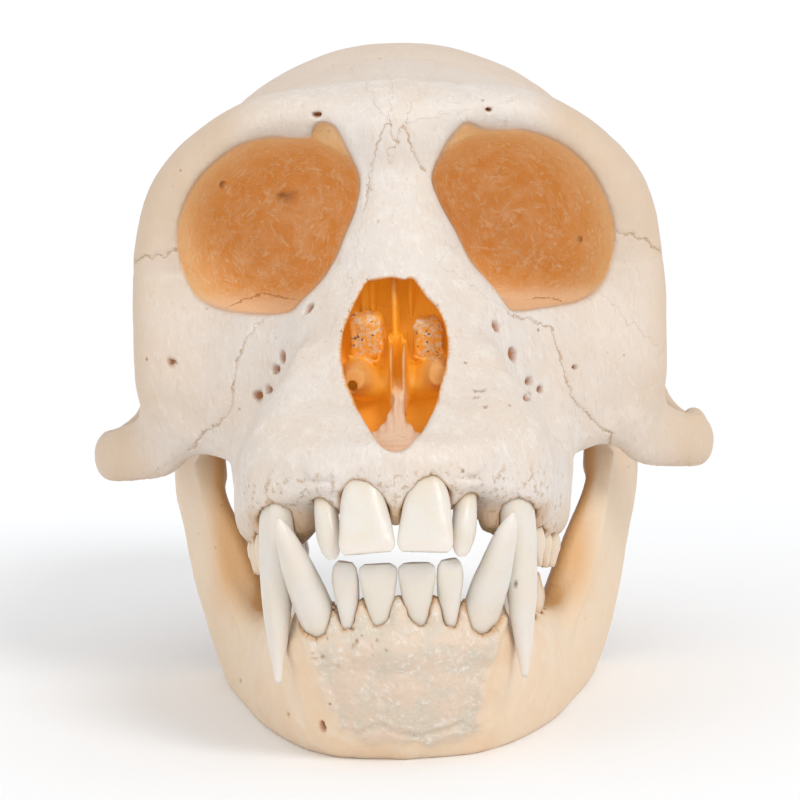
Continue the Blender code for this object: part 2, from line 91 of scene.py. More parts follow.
# What follows is given as seen from that place, in millimetres on an upright sheet through the face.
# Rims of the eye sockets and of the nose opening
EYE_RIMS = {
    "left": [
        (-9.2, 62.5), (-12.2, 62.6), (-15.4, 62.2), (-18.1, 60.9), (-20.5, 59.0), (-22.2, 56.6),
        (-23.3, 53.7), (-23.6, 51.5), (-23.2, 48.8), (-22.2, 46.4), (-20.7, 45.0), (-18.0, 44.0),
        (-14.6, 43.5), (-11.6, 43.7), (-10.2, 45.0), (-8.3, 46.8), (-6.6, 49.2), (-5.2, 52.3),
        (-4.1, 55.0), (-3.7, 57.7), (-4.4, 59.8), (-5.4, 62.0), (-6.2, 63.4), (-7.3, 64.0),
        (-8.4, 63.7)],
    "right": [
        (9.8, 62.8), (13.6, 62.7), (16.7, 61.7), (19.4, 59.9), (21.6, 57.2), (23.1, 53.7),
        (23.5, 50.5), (22.8, 47.3), (21.4, 45.2), (18.9, 43.9), (15.7, 43.3), (12.3, 43.1),
        (11.4, 43.9), (9.9, 46.0), (7.8, 48.6), (6.3, 51.8), (4.5, 55.3), (3.9, 57.7),
        (4.6, 59.6), (5.7, 61.5), (6.9, 62.9), (8.0, 63.5)],
}
EYE_SOCKET_MIDDLE_Z = 53.4
EYE_SOCKET_MIDDLE_X = 14.0
EYE_SOCKET_BACK_X = 11.4
EYE_SOCKET_MOUTH_Y = 33.0
EYE_SOCKET_DEPTH = 15.2
EYE_SOCKET_ROUNDNESS = 2.3
NOSE_RIM = [
    (-0.6, 47.1), (0.7, 46.7), (1.6, 46.9), (2.7, 45.2), (3.4, 44.4), (4.2, 43.5), (5.0, 41.4),
    (5.1, 39.2), (4.8, 37.1), (4.2, 35.5), (3.9, 33.9), (2.7, 31.2), (1.4, 29.7), (0.2, 28.6),
    (-1.1, 28.5), (-2.4, 29.2), (-3.6, 31.1), (-4.6, 33.1), (-5.1, 34.4), (-5.7, 35.8), (-6.2, 38.5),
    (-6.0, 41.1), (-5.2, 43.2), (-3.5, 46.4), (-2.7, 46.8), (-1.7, 46.9),
]
NOSE_DEPTH = 9.2
NOSE_FLARE = 0.12
# How far back the nose's rim lies at this height, and how that changes with each millimetre up
NOSE_RIM_Y, NOSE_RIM_Z, NOSE_RIM_SLOPE = 5.4, 31.6, 0.66
# Lines where bones meet
SUTURES = [
    [(-14.6, 43.0), (-15.4, 42.5), (-15.9, 41.6), (-16.6, 40.9), (-17.0, 39.6), (-17.5, 38.6),
     (-17.9, 36.6), (-18.1, 34.0), (-18.8, 32.9), (-19.6, 32.0), (-21.1, 31.2), (-22.2, 29.6),
     (-22.7, 29.3)],
    [(11.9, 43.0), (13.0, 42.2), (13.8, 42.5), (15.1, 41.6), (16.3, 41.3), (16.8, 39.7),
     (17.2, 38.3), (17.6, 36.7), (18.2, 34.0), (18.6, 33.3), (20.2, 31.8), (21.2, 30.4),
     (22.5, 29.7), (21.9, 28.4)],
    [(-28.3, 49.4), (-27.0, 50.2), (-26.2, 49.9), (-25.6, 50.4), (-24.8, 50.1), (-24.3, 50.6),
     (-23.4, 50.7)],
    [(23.6, 51.3), (24.5, 51.0), (25.2, 51.2), (26.1, 50.4), (26.8, 50.4), (27.3, 49.5),
     (28.4, 49.2)],
    [(-3.4, 54.6), (-2.6, 58.2), (-2.4, 59.2), (-1.9, 60.8), (-1.5, 61.9), (-0.9, 63.3),
     (-0.3, 63.7), (-0.2, 62.4), (0.3, 61.3), (0.7, 62.7), (1.2, 63.5), (1.5, 62.0), (1.9, 60.7),
     (2.5, 59.6), (3.2, 58.5)],
]
# Cracks in the floors of the eye sockets
CRACKS = [
    [(-17.6, 44.8), (-16.1, 45.4), (-14.5, 45.9), (-13.2, 45.5), (-11.6, 45.2)],
    [(14.6, 44.5), (16.0, 44.6), (17.3, 44.2)],
]
# Small openings for nerves and vessels: x, z, half breadth, half height and lean in degrees
FORAMINA = [
    (-12.7, 39.0, 0.26, 0.55, 0), (-13.4, 37.7, 0.32, 0.32, 0), (-14.2, 35.5, 0.28, 0.28, 0),
    (-15.4, 34.9, 0.42, 0.4, 0), (-24.5, 38.7, 0.3, 0.34, 0), (-9.6, 44.1, 0.22, 0.5, -40),
    (-8.2, 64.8, 0.36, 0.32, 0), (10.5, 41.6, 0.25, 0.5, 30), (12.2, 38.6, 0.36, 0.6, 10),
    (13.8, 35.6, 0.33, 0.3, 0), (14.9, 34.7, 0.26, 0.26, 0), (13.6, 34.0, 0.3, 0.28, 0),
    (18.7, 37.0, 0.18, 0.18, 0), (24.6, 40.6, 0.2, 0.2, 0), (8.0, 34.8, 0.13, 0.13, 0),
    (8.8, 34.8, 0.13, 0.13, 0), (8.1, 34.1, 0.13, 0.13, 0), (9.0, 33.1, 0.13, 0.13, 0),
    (10.3, 64.8, 0.26, 0.22, 0), (-18.3, 57.5, 0.26, 0.26, 0), (-11.7, 56.2, 0.6, 0.24, 30),
    (19.5, 50.7, 0.22, 0.2, 0),
]
JAW_FORAMINA = [(-9.4, -0.8, 0.26, 0.55, 20), (-13.0, 0.7, 0.14, 0.14, 0), (-18.0, 4.4, 0.14, 0.14, 0)]
# The rough, chalky front of the lower jaw
CHALK_OUTLINE = np.array([
    (-11.2, 10.4), (-10.2, 6.3), (-8.7, 2.3), (-7.4, -0.8), (-4, -2.6), (0, -2.9), (4, -2.8), (7.2, -1.6),
    (7.6, 2.2), (8.5, 5.2), (9.6, 8.8), (10.4, 10.6), (9.2, 15.5), (-10.8, 15.5),
])
# The raised edges beside it, and the ledge across its foot
CHALK_SIDES = [[(-11.0, 9.6), (-10.1, 6.3), (-8.7, 2.3), (-7.6, -0.6)],
               [(10.2, 10.2), (9.5, 8.6), (8.45, 5), (7.6, 2.3), (7.4, -0.4)]]
CHALK_LEDGE = [(-5.4, -1.4), (-3.2, -0.6), (-1.0, -1.6), (1.2, -2.0), (3.4, -1.4), (5.6, -0.8)]
LINE_REACH = 3.0  # sutures and cracks are told apart no further away than this
SUTURE_DEPTH = 0.12
CRACK_DEPTH = 0.1
PIT_DEPTH = 0.75
JAW_PIT_DEPTH = 0.7
# Brown specks on the teeth, in the same form as the openings
TOOTH_SPOTS = [(11.7, 14.0, 0.2, 0.3, 20), (12.1, 13.6, 0.15, 0.15, 0), (-14.1, 10.3, 0.15, 0.15, 0)]

# Teeth with one root. Stations run from the root to the tip: x, y, z, then half the breadth along
# the row and half the depth across it. The first number is how far the row has turned there.
FRONT_TEETH = {
    "upper_incisor_1": (0, [
        (3.0, 4.4, 32.8, 1.3, 1.4), (3.1, 2.9, 31.2, 1.55, 1.7), (3.16, 1.4, 29.6, 1.85, 1.8),
        (3.2, 0.3, 27.9, 2.3, 1.65), (3.1, -0.6, 26.3, 2.55, 1.35), (2.98, -1.4, 25.0, 2.72, 1.0),
        (2.9, -2.1, 23.9, 2.76, 0.62), (2.86, -2.45, 23.25, 2.35, 0.3)]),
    "upper_incisor_2": (28, [
        (7.2, 6.4, 32.4, 0.85, 1.1), (7.2, 4.8, 30.6, 0.95, 1.3), (7.1, 3.3, 28.5, 1.02, 1.35),
        (6.95, 1.7, 26.4, 1.2, 1.25), (6.75, 0.6, 24.4, 1.24, 0.95), (6.55, 0.1, 22.9, 0.92, 0.6),
        (6.5, 0.0, 22.2, 0.4, 0.3)]),
    "upper_canine": (72, [
        (11.2, 10.8, 33.5, 1.7, 1.0), (11.8, 8.4, 30.6, 2.4, 1.35), (12.1, 6.8, 27.6, 2.8, 1.7),
        (12.3, 6.0, 23.0, 2.6, 1.8), (12.45, 5.8, 18.0, 2.0, 1.6), (12.55, 6.1, 13.0, 1.2, 1.05),
        (12.6, 6.6, 8.4, 0.3, 0.3)]),
    "lower_incisor_1": (0, [
        (1.75, 7.0, 9.6, 0.7, 1.2), (1.8, 4.8, 12.8, 0.9, 1.5), (1.85, 3.5, 15.0, 1.1, 1.6),
        (1.92, 2.6, 16.7, 1.32, 1.45), (1.95, 1.8, 18.6, 1.66, 1.15), (1.95, 1.3, 20.0, 1.88, 0.85),
        (1.95, 1.0, 21.0, 1.86, 0.5), (1.95, 0.9, 21.5, 1.35, 0.26)]),
    "lower_incisor_2": (14, [
        (4.6, 7.4, 9.6, 0.6, 1.2), (4.8, 5.2, 12.6, 0.75, 1.5), (4.95, 3.7, 15.5, 0.92, 1.6),
        (5.15, 2.6, 18.0, 1.2, 1.35), (5.28, 1.9, 19.8, 1.36, 0.95), (5.25, 1.5, 21.1, 1.2, 0.55),
        (5.2, 1.4, 21.7, 0.8, 0.28)]),
    "lower_canine": (40, [
        (7.0, 8.8, 8.4, 1.2, 1.3), (7.5, 6.4, 11.8, 1.7, 1.8), (8.1, 4.7, 15.0, 1.95, 1.9),
        (9.35, 3.1, 18.8, 1.95, 1.7), (10.5, 1.8, 22.4, 1.5, 1.3), (11.35, 1.1, 24.9, 0.92, 0.85),
        (11.8, 0.9, 26.4, 0.2, 0.2)]),
}

# How high the gum's edge lies
GUM_LINES = {"upper_incisor_1": 30.4, "upper_incisor_2": 28.2, "upper_canine": 28.6}
LOWER_GUM_LINE = 13.6
FRONT_TOOTH_SQUARENESS = {"upper_incisor_1": 3.0, "lower_incisor_1": 2.4, "lower_incisor_2": 2.3}
ROUND_TOOTH = 2.15

# Cheek teeth: x and y of the middle, length along the row, breadth across it, how far the row has
# turned there in degrees, and how many cross ridges the crown carries.
CHEEK_TEETH = {
    "upper_premolar_1": (12.7, 11.7, 4.1, 4.6, 86, 1),
    "upper_premolar_2": (13.1, 16.2, 4.3, 5.2, 88, 1),
    "upper_molar_1": (13.6, 21.8, 6.0, 5.7, 90, 2),
    "upper_molar_2": (13.7, 28.4, 6.5, 6.0, 90, 2),
    "upper_molar_3": (13.3, 35.0, 6.1, 5.6, 92, 2),
    "lower_premolar_1": (9.7, 10.1, 4.4, 3.2, 72, 1),
    "lower_premolar_2": (10.7, 14.7, 4.2, 4.0, 80, 1),
    "lower_molar_1": (11.6, 20.0, 5.8, 4.6, 84, 2),
    "lower_molar_2": (12.1, 26.4, 6.3, 5.2, 87, 2),
    "lower_molar_3": (12.5, 33.0, 6.4, 5.0, 87, 2),
}
# Lengthwise grooves: where round the tooth and how wide, in degrees, and how deep
CANINE_GROOVES = {
    "upper_canine": ((-60, 13, 0.1), (-118, 16, 0.08), (60, 14, 0.08)),
    "lower_canine": ((60, 15, 0.07), (-75, 18, 0.05)),
}
BITE_GAP = 0.18
BITE_Z_AT_FRONT = 18.6
BITE_Y_AT_FRONT = 12.0
BITE_SLOPE = -0.19
CROWN_HEIGHT = 4.4
CUSP_HEIGHT = 1.5
CHEEK_ROOT_LENGTH = 3.6
CHEEK_SQUARENESS = 3.4
# Up the side of a cheek tooth: height over its neck, and its share of the full breadth
CHEEK_SIDE = [(-CHEEK_ROOT_LENGTH, 0.6), (-2, 0.72), (-0.2, 0.85), (0.8, 0.95), (1.6, 1.0), (2.4, 0.97),
              (CROWN_HEIGHT - CUSP_HEIGHT, 0.9)]
# Over its chewing face: the ring's share of the full breadth, and its share of the cusps' height
CHEEK_FACE = [(0.84, 0.7), (0.78, 1.0), (0.65, 1.0), (0.5, 0.95), (0.35, 0.9), (0.2, 0.9), (0.1, 0.9)]


# Curves and noise

def smooth_path(points, steps, closed=False):
    """Points of a Catmull-Rom curve through the given ones, whatever numbers each of them holds."""
    knots = [np.array(p, float) for p in points]
    if closed:
        knots = [knots[-1]] + knots + knots[:2]
    else:
        knots = [2 * knots[0] - knots[1]] + knots + [2 * knots[-1] - knots[-2]]
    found = []
    for a, b, c, d in zip(knots, knots[1:], knots[2:], knots[3:]):
        for t in np.linspace(0, 1, steps, endpoint=False):
            found.append(
                0.5 * (2 * b + (c - a) * t + (2 * a - 5 * b + 4 * c - d) * t**2
                       + (3 * b - a - 3 * c + d) * t**3)
            )
    return np.array(found if closed else found + [knots[-2]])


def ease(value, low, high):
    """0 below low, 1 above high, and a smooth rise between; high may be the smaller one."""
    t = np.clip((value - low) / (high - low), 0, 1)
    return t * t * (3 - 2 * t)


def unit(vector):
    return vector / np.linalg.norm(vector)


def lean(y):
    """How far the snout has leant aside at this depth."""
    return -LEAN * ease(y, LEAN_FROM_Y, 0)


def seen(x, y, z):
    """Where a point is seen from the photographer's place, on the sheet through the face."""
    dx, dy, dz = x - AIM[0], y - AIM[1], z - AIM[2]
    depth = CAMERA_DISTANCE + LOOK[0] * dx + LOOK[1] * dy + LOOK[2] * dz
    across = SIGHT_RIGHT[0] * dx + SIGHT_RIGHT[1] * dy
    above = SIGHT_UP[0] * dx + SIGHT_UP[1] * dy + SIGHT_UP[2] * dz
    return AIM[0] + across * CAMERA_DISTANCE / depth, AIM[2] + above * CAMERA_DISTANCE / depth


def behind(x, z, y):
    """The point at depth y, before the lean, that is seen at x and z on that sheet."""
    eye = AIM - LOOK * CAMERA_DISTANCE
    ray = LOOK * CAMERA_DISTANCE + SIGHT_RIGHT * (x - AIM[0]) + SIGHT_UP * (z - AIM[2])
    point = eye + ray * ((y - eye[1]) / ray[1])
    point[0] -= lean(y)
    return point


def rumple(points, size, seed):
    """Smooth noise from -1 to 1 at each point, with swells of about this size."""
    rng = np.random.default_rng(seed)
    count = 32
    lattice = rng.uniform(-1, 1, (count, count, count)).astype(np.float32)
    p = points / size + rng.uniform(0, count, 3)
    base = np.floor(p).astype(int)
    t = p - base
    t = t * t * (3 - 2 * t)
    found = np.zeros(len(points))
    for corner in np.ndindex(2, 2, 2):
        index = (base + corner) % count
        weight = np.prod(np.where(corner, t, 1 - t), axis=1)
        found += weight * lattice[index[:, 0], index[:, 1], index[:, 2]]
    return found


# Forms. Each is its lowest corner, its highest corner and a function that gives the distance to it.

def stretched(dx, dy, dz, axes, radii, squareness):
    """Distance to a ball stretched to radii along axes; squareness over 2 fills out its corners."""
    parts = []
    for i in range(3):
        along = axes[0, i] * dx + axes[1, i] * dy + axes[2, i] * dz
        parts.append(np.abs(along) / radii[i] + 1e-4)
    size = sum(part**squareness for part in parts) ** (1 / squareness)
    slope = sum(((part / size) ** (squareness - 1) / r) ** 2 for part, r in zip(parts, radii))
    return (size - 1) / np.sqrt(slope)


def ellipsoid(centre, radii, tilt=0.0, turn=0.0, squareness=2.0):
    axes = np.array(Matrix.Rotation(turn, 3, "Z") @ Matrix.Rotation(tilt, 3, "X"))
    centre, radii = np.array(centre, float), np.array(radii, float)
    reach = np.abs(axes) @ radii

    def distance(x, y, z):
        return stretched(x - centre[0], y - centre[1], z - centre[2], axes, radii, squareness)

    return centre - reach, centre + reach, distance


def span(values, low, high):
    """The run of an axis between low and high, as a slice."""
    hits = np.nonzero((values.ravel() > low) & (values.ravel() < high))[0]
    return slice(hits[0], hits[-1] + 1) if len(hits) else slice(0, 0)


def chain(links, squareness=2.0):
    """Overlapping stretched balls. Each link is its middle, its axes as columns and its radii."""
    reaches = [np.abs(axes) @ radii for _, axes, radii in links]
    low = np.min([m - r for (m, _, _), r in zip(links, reaches)], axis=0)
    high = np.max([m + r for (m, _, _), r in zip(links, reaches)], axis=0)

    def distance(x, y, z):
        found = np.full(np.broadcast_shapes(x.shape, y.shape, z.shape), FAR, np.float32)
        for (middle, axes, radii), reach in zip(links, reaches):
            near, away = middle - reach - CHAIN_MARGIN, middle + reach + CHAIN_MARGIN
            i, j, k = (span(v, a, b) for v, a, b in zip((x, y, z), near, away))
            here = stretched(
                x[i] - middle[0], y[:, j] - middle[1], z[:, :, k] - middle[2], axes, radii, squareness
            )
            found[i, j, k] = np.minimum(found[i, j, k], here)
        return found

    return low, high, distance, links, squareness


def links_distance(form, points):
    """Distance from loose points to a chain."""
    found = np.full(len(points), FAR)
    for middle, axes, radii in form[3]:
        dx, dy, dz = (points - middle).T
        found = np.minimum(found, stretched(dx, dy, dz, axes, radii, form[4]))
    return found


def band(stations, height_runs=UP, steps=8, squareness=2.0):
    """A rod whose section changes: each station is x, y, z, half thickness, half height."""
    path = smooth_path(stations, steps)
    links = []
    for i, p in enumerate(path):
        ahead = unit(path[min(i + 1, len(path) - 1)][:3] - path[max(i - 1, 0)][:3])
        side = unit(np.cross(ahead, height_runs))
        up = np.cross(side, ahead)
        radii = np.array((p[3], p[4], min(p[3], p[4])))
        links.append((p[:3], np.column_stack((side, up, ahead)), radii))
    return chain(links, squareness)


def upright_plate(levels, steps=8, squareness=2.6):
    """A standing plate: each level is z, front x and y, back x and y, half thickness."""
    links = []
    for z, front_x, front_y, back_x, back_y, half in smooth_path(levels, steps):
        front, back = np.array((front_x, front_y, z)), np.array((back_x, back_y, z))
        along = unit(back - front)
        axes = np.column_stack((np.cross(along, UP), along, UP))
        reach = np.linalg.norm(back - front) / 2
        links.append(((front + back) / 2, axes, np.array((half, reach, half))))
    return chain(links, squareness)


def outline_distance(x, z, outline):
    """Distance to a closed outline in x and z, below zero inside it."""
    found = np.full(np.broadcast_shapes(x.shape, z.shape), FAR**2)
    inside = np.zeros(found.shape, bool)
    for (ax, az), (bx, bz) in zip(outline, np.roll(outline, -1, axis=0)):
        ex, ez = bx - ax, bz - az
        t = np.clip(((x - ax) * ex + (z - az) * ez) / (ex * ex + ez * ez), 0, 1)
        found = np.minimum(found, (x - ax - t * ex) ** 2 + (z - az - t * ez) ** 2)
        if abs(ez) > 1e-9:
            crosses = ((az > z) != (bz > z)) & (x < ax + ex * (z - az) / ez)
            inside ^= crosses
    return np.where(inside, -1, 1) * np.sqrt(found)


def mirrored(form):
    low, high, distance = form[:3]
    return (
        np.array((-high[0], low[1], low[2])),
        np.array((-low[0], high[1], high[2])),
        lambda x, y, z: distance(-x, y, z),
    )


def lesser(a, b, radius):
    """The smaller of two fields, with a soft fillet where they are alike."""
    if radius == 0:
        return np.minimum(a, b)
    share = np.clip(0.5 + 0.5 * (b - a) / radius, 0, 1)
    return b + (a - b) * share - radius * share * (1 - share)


class Clay:
    """A block of space that forms are added to and cut from. Bone is where the field is below zero."""

    def __init__(self, low, high, step):
        self.step = step
        self.axes = [np.arange(a, b + step, step, dtype=np.float32) for a, b in zip(low, high)]
        self.field = np.full([len(axis) for axis in self.axes], FAR, np.float32)

    def window(self, form, margin):
        low, high, distance = form[:3]
        part = tuple(span(axis, a - margin, b + margin) for axis, a, b in zip(self.axes, low, high))
        x, y, z = (axis[run] for axis, run in zip(self.axes, part))
        return part, distance(x[:, None, None], y[None, :, None], z[None, None, :])

    def add(self, form, fillet=1.5, both_sides=True):
        for one in (form, mirrored(form)) if both_sides else (form,):
            part, distance = self.window(one, fillet + self.step)
            self.field[part] = lesser(self.field[part], distance, fillet)

    def cut(self, form, fillet=0.3, both_sides=True):
        for one in (form, mirrored(form)) if both_sides else (form,):
            part, distance = self.window(one, fillet + self.step)
            self.field[part] = -lesser(-self.field[part], distance, fillet)

    def skin(self):
        """The surface where the field is zero, as points and quads, one point for each crossed cell."""
        field = self.field
        shape = np.array(field.shape) - 1
        inside = field < 0
        strides = np.array((shape[1] * shape[2], shape[2], 1))
        crossings, quads = [], []
        for axis in range(3):
            ends = [slice(None)] * 3
            starts = [slice(None)] * 3
            ends[axis], starts[axis] = slice(1, None), slice(None, -1)
            here = np.argwhere(inside[tuple(starts)] != inside[tuple(ends)])
            others = [n for n in range(3) if n != axis]
            away = here[:, others]
            here = here[np.all((away > 0) & (away < shape[others]), axis=1)]
            near = field[tuple(starts)][tuple(here.T)]
            far = field[tuple(ends)][tuple(here.T)]
            point = here.astype(np.float32)
            point[:, axis] += near / (near - far)
            corners = []
            for back in ((0, 0), (1, 0), (1, 1), (0, 1)):
                cell = here.copy()
                cell[:, others] -= back
                corners.append(cell @ strides)
            around = np.stack(corners, axis=1)
            flip = near >= 0 if axis != 1 else near < 0
            crossings.append(np.repeat(point, 4, axis=0))
            around[flip] = around[flip][:, ::-1]
            quads.append(around)
        crossings, quads = np.concatenate(crossings), np.concatenate(quads)
        _, number = np.unique(quads.ravel(), return_inverse=True)
        count = np.bincount(number)
        points = np.stack([np.bincount(number, crossings[:, n]) / count for n in range(3)], axis=1)
        points = points * self.step + np.array([axis[0] for axis in self.axes])
        return points, number.reshape(-1, 4)


# Meshes

def mesh_from(name, points, faces):
    mesh = bpy.data.meshes.new(name)
    mesh.from_pydata([tuple(p) for p in points], [], [tuple(f) for f in faces])
    mesh.shade_smooth()
    return mesh


def object_from(mesh, body="root"):
    """A finished mesh in skull millimetres becomes a piece in the frame that rides on the skull."""
    mesh.transform(SKULL_TO_FRAME)
    obj = bpy.data.objects.new(mesh.name, mesh)
    bpy.context.scene.collection.objects.link(obj)
    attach(obj, body)
    return obj


def points_of(mesh):
    found = np.zeros(len(mesh.vertices) * 3, np.float32)
    mesh.vertices.foreach_get("co", found)
    return found.reshape(-1, 3)


def normals_of(mesh):
    found = np.zeros(len(mesh.vertices) * 3, np.float32)
    mesh.vertex_normals.foreach_get("vector", found)
    return found.reshape(-1, 3)


def set_points(mesh, points):
    mesh.vertices.foreach_set("co", points.astype(np.float32).ravel())
    mesh.update()


def set_mask(mesh, name, values):
    """Keeps a number for each point, which a material reads under this name."""
    layer = mesh.attributes.get(name) or mesh.attributes.new(name, "FLOAT", "POINT")
    layer.data.foreach_set("value", np.asarray(values, np.float32))


def set_masks(mesh, masks):
    for name, values in masks.items():
        set_mask(mesh, name, values)


def mask_of(mesh, name):
    found = np.zeros(len(mesh.vertices), np.float32)
    if name in mesh.attributes:
        mesh.attributes[name].data.foreach_get("value", found)
    return found


def lean_snout(mesh):
    points = points_of(mesh)
    points[:, 0] += lean(points[:, 1])
    set_points(mesh, points)


def faces_of(mesh):
    return [tuple(face.vertices) for face in mesh.polygons]


def joined(name, first, second):
    """One mesh that holds both, the first one's points first."""
    count = len(first.vertices)
    faces = faces_of(first) + [tuple(v + count for v in face) for face in faces_of(second)]
    return mesh_from(name, np.concatenate((points_of(first), points_of(second))), faces)


def refine(mesh, near):
    """Splits every face that has one of the near points."""
    bm = bmesh.new()
    bm.from_mesh(mesh)
    bm.verts.ensure_lookup_table()
    edges = {edge for i in np.nonzero(near)[0] for face in bm.verts[i].link_faces for edge in face.edges}
    ordered = sorted(edges, key=lambda edge: edge.index)
    bmesh.ops.subdivide_edges(bm, edges=ordered, cuts=1, use_grid_fill=True)
    bmesh.ops.triangulate(bm, faces=[face for face in bm.faces if len(face.verts) > 4])
    bm.to_mesh(mesh)
    bm.free()


def line_distance(x, z, lines):
    """Distance to the nearest of some open lines, below zero on the left of the way they run."""
    found = np.full(len(x), FAR)
    for line in lines:
        for (ax, az), (bx, bz) in zip(line, line[1:]):
            ex, ez = bx - ax, bz - az
            t = np.clip(((x - ax) * ex + (z - az) * ez) / (ex * ex + ez * ez), 0, 1)
            away = np.sqrt((x - ax - t * ex) ** 2 + (z - az - t * ez) ** 2)
            away = np.where(ex * (z - az) - ez * (x - ax) > 0, -away, away)
            found = np.where(np.abs(away) < np.abs(found), away, found)
    return found


def opening_distance(x, z, openings):
    """How far each point is from the nearest small opening, which reaches to 1."""
    found = np.full(len(x), FAR)
    for middle_x, middle_z, half_x, half_z, turn in openings:
        c, s = math.cos(math.radians(turn)), math.sin(math.radians(turn))
        across = (x - middle_x) * c + (z - middle_z) * s
        along = (z - middle_z) * c - (x - middle_x) * s
        found = np.minimum(found, np.sqrt((across / half_x) ** 2 + (along / half_z) ** 2))
    return found


# Teeth

def tooth_frames(stations, turn, flip, steps):
    """Middle, row way, across way and half sizes along a tooth with one root."""
    row_way = np.array((math.cos(turn) * flip, math.sin(turn), 0))
    path = smooth_path(stations, steps)
    path[:, 0] *= flip
    frames = []
    for i, p in enumerate(path):
        ahead = unit(path[min(i + 1, len(path) - 1)][:3] - path[max(i - 1, 0)][:3])
        across = unit(np.cross(ahead, row_way))
        row = np.cross(across, ahead)
        frames.append((p[:3], row, across, ahead, p[3], p[4]))
    return frames


def front_tooth_form(name, flip, grow):
    turn, stations = FRONT_TEETH[name]
    links = []
    for middle, row, across, ahead, breadth, depth in tooth_frames(stations, math.radians(turn), flip, 6):
        radii = np.array((breadth + grow, depth + grow, min(breadth, depth) + grow))
        links.append((middle, np.column_stack((row, across, ahead)), radii))
    return chain(links)


def cheek_frame(name, flip):
    x, y, length, breadth, turn, ridges = CHEEK_TEETH[name]
    turn = math.radians(turn)
    way = 1 if name.startswith("lower") else -1
    row = np.array((math.cos(turn) * flip, math.sin(turn), 0))
    across = np.array((-math.sin(turn), math.cos(turn) * flip, 0))
    bite = BITE_Z_AT_FRONT + BITE_SLOPE * (y - BITE_Y_AT_FRONT) - way * BITE_GAP
    neck = np.array((x * flip, y, bite - way * CROWN_HEIGHT))
    return neck, row, across, way, length, breadth, ridges


def cheek_tooth_form(name, flip, grow):
    neck, row, across, way, length, breadth, _ = cheek_frame(name, flip)
    axes = np.column_stack((row, across, UP))
    links = []
    for height, share in ((-3.2, 0.6), (-2.2, 0.68), (-1, 0.78), (0, 0.86), (1.4, 0.98), (3, 1.0)):
        radii = np.array((length / 2 * share + grow, breadth / 2 * share + grow, 1.6 + grow))
        links.append((neck + UP * way * height, axes, radii))
    return chain(links, 3.0)


def ring_loft(rings, last_middle=None):
    """Points and faces of a closed skin over rings of equal count."""
    count = len(rings[0])
    points = [p for ring in rings for p in ring]
    faces = []
    for r in range(len(rings) - 1):
        for i in range(count):
            j = (i + 1) % count
            faces.append((r * count + i, r * count + j, (r + 1) * count + j, (r + 1) * count + i))
    first, last = len(points), len(points) + 1
    points.append(np.mean(rings[0], axis=0))
    points.append(np.mean(rings[-1], axis=0) if last_middle is None else last_middle)
    top = (len(rings) - 1) * count
    for i in range(count):
        j = (i + 1) % count
        faces.append((j, i, first))
        faces.append((top + i, top + j, last))
    return points, faces


def outward(mesh):
    bm = bmesh.new()
    bm.from_mesh(mesh)
    bmesh.ops.recalc_face_normals(bm, faces=bm.faces)
    bm.to_mesh(mesh)
    bm.free()
    return mesh


def front_tooth_mesh(name, side):
    turn, stations = FRONT_TEETH[name]
    flip = SIDES[side]
    sides = 56
    squareness = FRONT_TOOTH_SQUARENESS.get(name, ROUND_TOOTH)
    grooves = CANINE_GROOVES.get(name, ())
    rings = []
    frames = tooth_frames(stations, math.radians(turn), flip, 9)
    for i, (middle, row, across, _, breadth, depth) in enumerate(frames):
        fade = math.sin(math.pi * min(1.0, i / (len(frames) - 1)))
        ring = []
        for step in range(sides):
            angle = 2 * math.pi * step / sides
            u, v = math.cos(angle), math.sin(angle)
            reach = (abs(u) ** squareness + abs(v) ** squareness) ** (-1 / squareness)
            for place, width, deep in grooves:
                off = (math.degrees(angle) - place + 180) % 360 - 180
                reach *= 1 - deep * fade * math.exp(-((off / width) ** 2))
            ring.append(middle + row * (u * reach * breadth) + across * (v * reach * depth))
        rings.append(ring)
    return outward(mesh_from(f"{name}_{side}_enamel", *ring_loft(rings)))


def crown_relief(across, along, ridges):
    """How high the chewing face stands: 0 in its valleys and 1 on its cusps; across and along reach 1."""
    if ridges == 1:
        crest = math.exp(-((along / 0.55) ** 2))
    else:
        crest = math.exp(-(((abs(along) - 0.5) / 0.28) ** 2))
    return crest * (0.62 + 0.38 * min(1.0, abs(across) * 1.5))


def cheek_tooth_mesh(name, side):
    neck, row, across, way, length, breadth, ridges = cheek_frame(name, SIDES[side])
    sides = 40

    def ring(height, share, relief=0.0):
        points = []
        for step in range(sides):
            angle = 2 * math.pi * (step + 0.5) / sides
            u, v = math.cos(angle), math.sin(angle)
            reach = (abs(u) ** CHEEK_SQUARENESS + abs(v) ** CHEEK_SQUARENESS) ** (-1 / CHEEK_SQUARENESS)
            u, v = u * reach * share, v * reach * share
            rise = relief * crown_relief(u, v, ridges)
            if height > 0:
                rise += BITE_SLOPE * v * length / 2 * way
            point = neck + across * (u * breadth / 2) + row * (v * length / 2)
            points.append(point + UP * way * (height + rise))
        return points

    face = CROWN_HEIGHT - CUSP_HEIGHT
    rings = [ring(height, share) for height, share in CHEEK_SIDE]
    for share, relief in CHEEK_FACE:
        rings.append(ring(face, share, CUSP_HEIGHT * relief))
    last = neck + UP * way * (face + CUSP_HEIGHT * crown_relief(0, 0, ridges))
    return outward(mesh_from(f"{name}_{side}_enamel", *ring_loft(rings, last)))


def every_tooth():
    return [(name, side) for name in [*FRONT_TEETH, *CHEEK_TEETH] for side in SIDES]


def tooth_form(name, side, grow=0.0):
    make = front_tooth_form if name in FRONT_TEETH else cheek_tooth_form
    return make(name, SIDES[side], grow)


